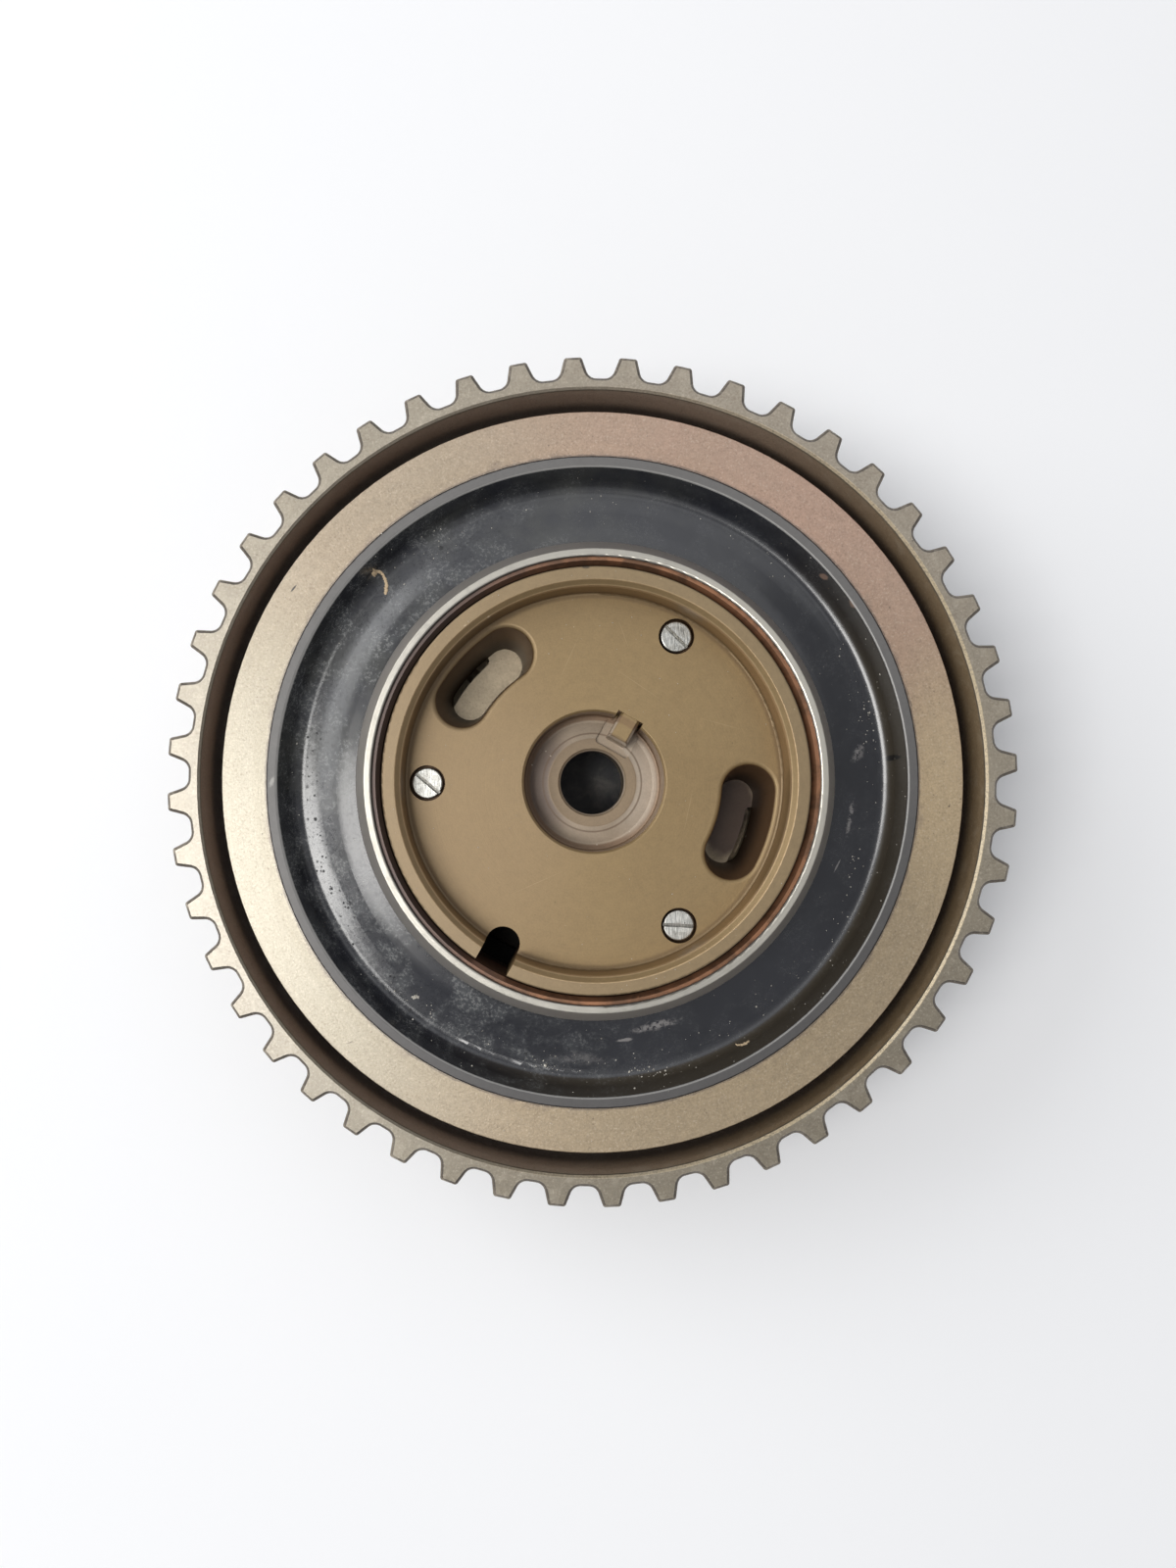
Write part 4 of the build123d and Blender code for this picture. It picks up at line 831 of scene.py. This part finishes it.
def grain_shell():
    """Points and faces of a twenty sided ball of radius one: three golden rectangles, one in each plane."""
    golden = (1 + math.sqrt(5)) / 2
    flat = np.array([(-1, golden), (1, golden), (-1, -golden), (1, -golden)])
    none = np.zeros((4, 1))
    points = np.vstack([
        np.hstack([flat, none]),
        np.hstack([none, flat]),
        np.hstack([flat[:, 1:], none, flat[:, :1]]),
    ])
    points /= math.sqrt(1 + golden ** 2)
    gap = np.linalg.norm(points[:, None, :] - points[None, :, :], axis=2)
    first, second = np.triu_indices(len(points), 1)
    just_over_side = gap[first, second].min() * 1.01
    neighbours = gap[first, second] < just_over_side
    first, second = first[neighbours], second[neighbours]
    later = np.arange(len(points))[None, :] > second[:, None]
    row, corner = np.nonzero((gap[first] < just_over_side) & (gap[second] < just_over_side) & later)
    faces = np.column_stack([first[row], second[row], corner])
    middle = points[faces].mean(axis=1)
    normal = np.cross(points[faces[:, 1]] - points[faces[:, 0]], points[faces[:, 2]] - points[faces[:, 0]])
    inward = (normal * middle).sum(axis=1) < 0
    faces[inward] = faces[inward][:, ::-1]
    return points, faces


def grains(name, places, sizes, material, body, seed):
    """Grit as one mesh: each place, in millimetres, gets a ball stretched at random, turned about the
    upright and flattened, and lifted so that a fifth of its height stays below the place."""
    ball, faces = grain_shell()
    random = np.random.default_rng(seed)
    count, corners = len(places), len(ball)
    flatness, lift = 0.6, 0.6
    stretch = random.uniform(0.6, 1.3, (count, 3)) * sizes[:, None]
    stretch[:, 2] *= flatness
    turn = random.uniform(0, 2 * math.pi, count)
    local = ball[None, :, :] * random.uniform(0.8, 1.2, (count, corners, 1)) * stretch[:, None, :]
    cosine, sine = np.cos(turn)[:, None], np.sin(turn)[:, None]
    x = local[:, :, 0] * cosine - local[:, :, 1] * sine
    y = local[:, :, 0] * sine + local[:, :, 1] * cosine
    z = local[:, :, 2] + lift * stretch[:, 2:3]
    points = np.stack([x, y, z], axis=2) + places[:, None, :]
    all_faces = faces[None, :, :] + corners * np.arange(count)[:, None, None]
    return new_mesh(name, points.reshape(-1, 3) * MM, all_faces.reshape(-1, 3), material, body)


def crumb_strip(name, path, half_widths, profile, material, body, seed):
    """Raised crumb along a path: at each of its points a half round section, as wide as given and with a
    ragged height, whose foot follows the turned profile below it. The first and last section shrink to
    points."""
    random = np.random.default_rng(seed)
    path, half_widths = np.array(path), np.array(half_widths)
    run = np.concatenate([[0.0], np.cumsum(np.hypot(*np.diff(path, axis=0).T))])
    sections, ribs = 46, 9
    wobble, end_width, sunk = 0.035, 0.01, 0.02
    stations = np.linspace(0, run[-1], sections)
    line = np.column_stack([np.interp(stations, run, path[:, axis]) for axis in (0, 1)])
    line += random.normal(0, wobble, line.shape)
    width = np.interp(stations, run, half_widths) * random.uniform(0.7, 1.3, sections)
    width[[0, -1]] = end_width
    ahead = np.gradient(line, axis=0)
    ahead /= np.linalg.norm(ahead, axis=1)[:, None]
    aside = np.column_stack([-ahead[:, 1], ahead[:, 0]])
    sweep = np.linspace(0, math.pi, ribs)
    across = np.cos(sweep)[None, :] * width[:, None] * random.uniform(0.8, 1.2, (sections, ribs))
    flat = line[:, None, :] + aside[:, None, :] * across[:, :, None]
    foot = np.interp(np.hypot(flat[:, :, 0], flat[:, :, 1]), *profile)
    rise = np.sin(sweep)[None, :] * width[:, None] * random.uniform(0.45, 0.9, (sections, ribs))
    points = np.dstack([flat, foot - sunk + rise])
    row, column = np.meshgrid(np.arange(sections - 1), np.arange(ribs - 1), indexing="ij")
    corner = row * ribs + column
    faces = np.stack([corner, corner + 1, corner + ribs + 1, corner + ribs], axis=2).reshape(-1, 4)
    base = np.arange(sections - 1) * ribs
    under = np.column_stack([base + ribs, base + 2 * ribs - 1, base + ribs - 1, base])
    made = new_mesh(name, points.reshape(-1, 3) * MM, np.vstack([faces, under]), material, body)
    fix_sides(made)
    return made


def fix_sides(made):
    """Turns every face of a closed piece outwards."""
    shape = bmesh.new()
    shape.from_mesh(made.data)
    bmesh.ops.recalc_face_normals(shape, faces=shape.faces)
    shape.to_mesh(made.data)
    shape.free()


def ring_places(seed, count, inner, outer, profile, lean=0.0, side=0.0):
    """Random places between two radii, in millimetres, on a turned profile. Places towards the side
    angle are kept more often the larger lean is."""
    random = np.random.default_rng(seed)
    tries = count * 3
    radius = np.sqrt(random.uniform(inner ** 2, outer ** 2, tries))
    angle = random.uniform(0, 2 * math.pi, tries)
    chance = (1 + lean * np.cos(angle - math.radians(side))) / (1 + lean)
    kept = np.nonzero(random.uniform(0, 1, tries) < chance)[0][:count]
    radius, angle = radius[kept], angle[kept]
    return np.column_stack([radius * np.cos(angle), radius * np.sin(angle), np.interp(radius, *profile)])


def heap_places(seed, count, middle, spread, profile):
    """Random places round a middle, in millimetres, thinning out with distance, on a turned profile."""
    random = np.random.default_rng(seed)
    flat = np.array(middle) + random.normal(0, 1, (count, 2)) * np.array(spread)
    return np.column_stack([flat, np.interp(np.hypot(flat[:, 0], flat[:, 1]), *profile)])


def slots_clear(places):
    """True for places on the hub disc that aren't over a kidney slot, a screw or the notch."""
    radius = np.hypot(places[:, 0], places[:, 1])
    angle = np.degrees(np.arctan2(places[:, 1], places[:, 0]))
    clear = np.ones(len(places), dtype=bool)
    kidneys_and_notch = ((136.5, 26.0, 16.5, 26.2), (-15.5, 26.0, 16.5, 26.2), (240.5, 12.0, 13.0, 30.0))
    for middle, half_width, nearest, furthest in kidneys_and_notch:
        turn = (angle - middle + 180.0) % 360.0 - 180.0
        clear &= ~((np.abs(turn) < half_width) & (radius > nearest) & (radius < furthest))
    screw_circle, screw_room = 23.07, 3.0
    for middle in np.radians((60.5, 180.5, 300.5)):
        screw = screw_circle * np.array((math.cos(middle), math.sin(middle)))
        clear &= np.hypot(*(places[:, :2] - screw).T) > screw_room
    return clear


def level_profile(height):
    """Profile of a flat face: one height at every radius."""
    return [0.0], [height]


dust, residue = pale_dust(), tan_residue()
UNDER_CHANNEL = 28.15
cover_profile = top_profile("rear_cover", UNDER_CHANNEL)
channel_dust = np.vstack([
    ring_places(11, 330, 33.9, 42.9, cover_profile, 0.5, 300.0),
    ring_places(12, 60, 43.0, 44.8, cover_profile, 0.6, 310.0),
    heap_places(13, 34, (7.9, -42.2), (1.6, 0.55), cover_profile),
    heap_places(14, 22, (-6.5, -41.2), (1.5, 0.6), cover_profile),
    heap_places(15, 26, (37.5, -9.0), (0.9, 3.2), cover_profile),
    heap_places(16, 24, (-24.0, 33.0), (3.2, 2.4), cover_profile),
    heap_places(17, 30, (40.6, 9.5), (0.8, 4.0), cover_profile),
])
random = np.random.default_rng(5)
smallest_grain = 0.028
channel_sizes = random.gamma(2.2, 0.022, len(channel_dust)) + smallest_grain
grains("channel_dust", channel_dust, channel_sizes, dust, "housing", 21)
plate_places = ring_places(18, 90, 46.8, 52.4, level_profile(PLATE_FACE))
plate_sizes = random.uniform(0.03, 0.07, len(plate_places))
grains("plate_dust", plate_places, plate_sizes, dust, "housing", 22)
floor_places = ring_places(19, 70, 10.6, 25.8, level_profile(DISC_FLOOR))
rim_places = ring_places(20, 26, 27.2, 28.5, level_profile(DISC_RIM))
low_places = [(3.1, -3.6, 31.55), (-19.4, 9.9, 33.0), (21.6, -7.6, 33.5)]
disc_places = np.vstack([
    floor_places[slots_clear(floor_places)],
    rim_places[slots_clear(rim_places)],
    low_places,
])
disc_sizes = random.uniform(0.03, 0.075, len(disc_places))
grains("disc_dust", disc_places, disc_sizes, dust, "cam_hub", 23)

crumbs = (
    ("dried_residue", residue, 31,
     [(-31.70, 29.99), (-31.21, 30.60), (-30.63, 30.65), (-30.15, 30.11), (-29.79, 29.15), (-29.79, 28.09),
      (-29.96, 27.37)],
     (0.22, 0.30, 0.22, 0.20, 0.27, 0.26, 0.16)),
    ("white_fleck", dust, 32, [(-25.9, -31.3), (-25.5, -31.0), (-25.05, -31.15)], (0.18, 0.28, 0.16)),
    ("pale_curl", residue, 33, [(20.9, -38.0), (21.9, -37.9), (22.9, -37.3)], (0.08, 0.12, 0.08)),
)
for name, material, seed, path, half_widths in crumbs:
    crumb_strip(name, path, half_widths, cover_profile, material, "housing", seed)


def coil_spring(name, node, coil_radius, wire_radius, turns):
    """Coil spring in place of a node's plain helix. The wire's middle line keeps one distance from the
    spring's axis and turns evenly, x being that distance times the cosine of the turn and y times its
    sine. It climbs one wire in the first and last turn and evenly between them, and round it each point
    of the wire lies one wire radius out."""
    low, high = (np.array(corner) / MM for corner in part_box(node))
    middle = (low + high) / 2
    tall = high[2] - low[2]
    steps, sides, play = turns * 28, 10, 0.02
    turn = np.linspace(0, turns, steps + 1)
    end, one_wire_on = play + wire_radius, play + 3 * wire_radius
    climb = np.interp(turn, [0, 1, turns - 1, turns], [end, one_wire_on, tall - one_wire_on, tall - end])
    angle = 2 * math.pi * turn
    out = np.column_stack([np.cos(angle), np.sin(angle), np.zeros(len(turn))])
    path = out * coil_radius + np.array([middle[0], middle[1], low[2]])
    path[:, 2] += climb
    ahead = np.gradient(path, axis=0)
    ahead /= np.linalg.norm(ahead, axis=1)[:, None]
    upward = np.cross(ahead, out)
    sweep = np.linspace(0, 2 * math.pi, sides, endpoint=False)
    ring = np.cos(sweep)[None, :, None] * out[:, None, :] + np.sin(sweep)[None, :, None] * upward[:, None, :]
    points = (path[:, None, :] + wire_radius * ring).reshape(-1, 3)
    row, side = np.meshgrid(np.arange(steps) * sides, np.arange(sides), indexing="ij")
    here, beside = (row + side).ravel(), (row + (side + 1) % sides).ravel()
    walls = np.vstack([
        np.column_stack([here, beside, beside + sides]),
        np.column_stack([here, beside + sides, here + sides]),
    ])
    first, last = np.arange(sides), steps * sides + np.arange(sides)
    tips = len(points)
    caps = np.vstack([
        np.column_stack([np.full(sides, tips), np.roll(first, -1), first]),
        np.column_stack([np.full(sides, tips + 1), last, np.roll(last, -1)]),
    ])
    points = np.vstack([points, path[:1], path[-1:]])
    made = new_mesh(name, points * MM, np.vstack([walls, caps]), spring, "cam_hub")
    fix_sides(made)
    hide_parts(node)
    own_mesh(made)
    return made


coil_spring("wound_lock_spring", "lock_pin_spring", 1.25, 0.2, 9)


def pale_floor():
    """Pale floor under the sprocket."""
    f = Finish("pale_floor")
    tone = f.net.noise(f.place, 6.0, 3.0, 0.5)
    f.colour = f.net.blend(tone, srgb(246, 247, 249), srgb(250, 250, 251))
    return f.close(0.75)


def flat_sheet(name, half, height):
    """Square sheet at a height: x and y each reach from -half to half."""
    corners = [(x * half, y * half, height) for x, y in ((-1, -1), (1, -1), (1, 1), (-1, 1))]
    mesh = bpy.data.meshes.new(name)
    mesh.from_pydata(corners, [], [(0, 1, 2, 3)])
    made = bpy.data.objects.new(name, mesh)
    bpy.context.scene.collection.objects.link(made)
    return made


floor = flat_sheet("floor", 3.0, 0.0)
floor.data.materials.append(pale_floor())


def area_light(name, place, aim, size, power, colour):
    """Soft rectangular light at a place, facing a point."""
    data = bpy.data.lights.new(name, "AREA")
    data.shape = "RECTANGLE"
    data.size, data.size_y = size
    data.energy = power
    data.color = colour
    made = bpy.data.objects.new(name, data)
    made.location = place
    made.rotation_euler = (Vector(aim) - Vector(place)).to_track_quat("-Z", "Y").to_euler()
    bpy.context.scene.collection.objects.link(made)
    return made


area_light("window", (-0.555, -0.13, 1.17), (0.0, 0.0, 0.03), (0.45, 0.7), 8.7, (1.0, 0.985, 0.96))
area_light("low_window", (-0.92, 0.43, 0.64), (0.0, 0.0, 0.03), (1.0, 0.7), 6.0, (0.98, 0.99, 1.0))
area_light("ceiling", (0.1, 0.85, 1.3), (0.0, 0.0, 0.0), (1.6, 1.2), 3.2, (0.97, 0.985, 1.0))

world = bpy.data.worlds.new("soft_room")
world.use_nodes = True
world.node_tree.nodes["Background"].inputs["Color"].default_value = (0.93, 0.95, 1.0, 1.0)
world.node_tree.nodes["Background"].inputs["Strength"].default_value = 0.31
bpy.context.scene.world = world
bpy.context.scene.view_settings.view_transform = "Standard"
bpy.context.scene.view_settings.look = "None"

# Camera of the photograph, in points of a 1200 by 1600 picture. It looks straight down, because the rings
# stay round and concentric, but higher rings move right and up, so the point under it is off the middle.
PICTURE = (1200.0, 1600.0)
FOCAL = 1202.0
SENSOR = 24.0
DISTANCE = 167.0 * MM
FACE_HEIGHT = RIM_FACE * MM
FACE_MIDDLE = (604.8, 798.3)
UNDER_LENS = (546.0, 822.0)

per_point = DISTANCE / FOCAL
lens = bpy.data.cameras.new("photo_camera")
lens.sensor_fit = "VERTICAL"
lens.sensor_height = SENSOR
lens.lens = SENSOR * FOCAL / PICTURE[1]
lens.shift_x = (PICTURE[0] / 2 - UNDER_LENS[0]) / PICTURE[1]
lens.shift_y = (UNDER_LENS[1] - PICTURE[1] / 2) / PICTURE[1]
lens.clip_start = 0.01
camera = bpy.data.objects.new("photo_camera", lens)
camera.location = (
    (UNDER_LENS[0] - FACE_MIDDLE[0]) * per_point,
    (FACE_MIDDLE[1] - UNDER_LENS[1]) * per_point,
    FACE_HEIGHT + DISTANCE,
)
bpy.context.scene.collection.objects.link(camera)
bpy.context.scene.camera = camera
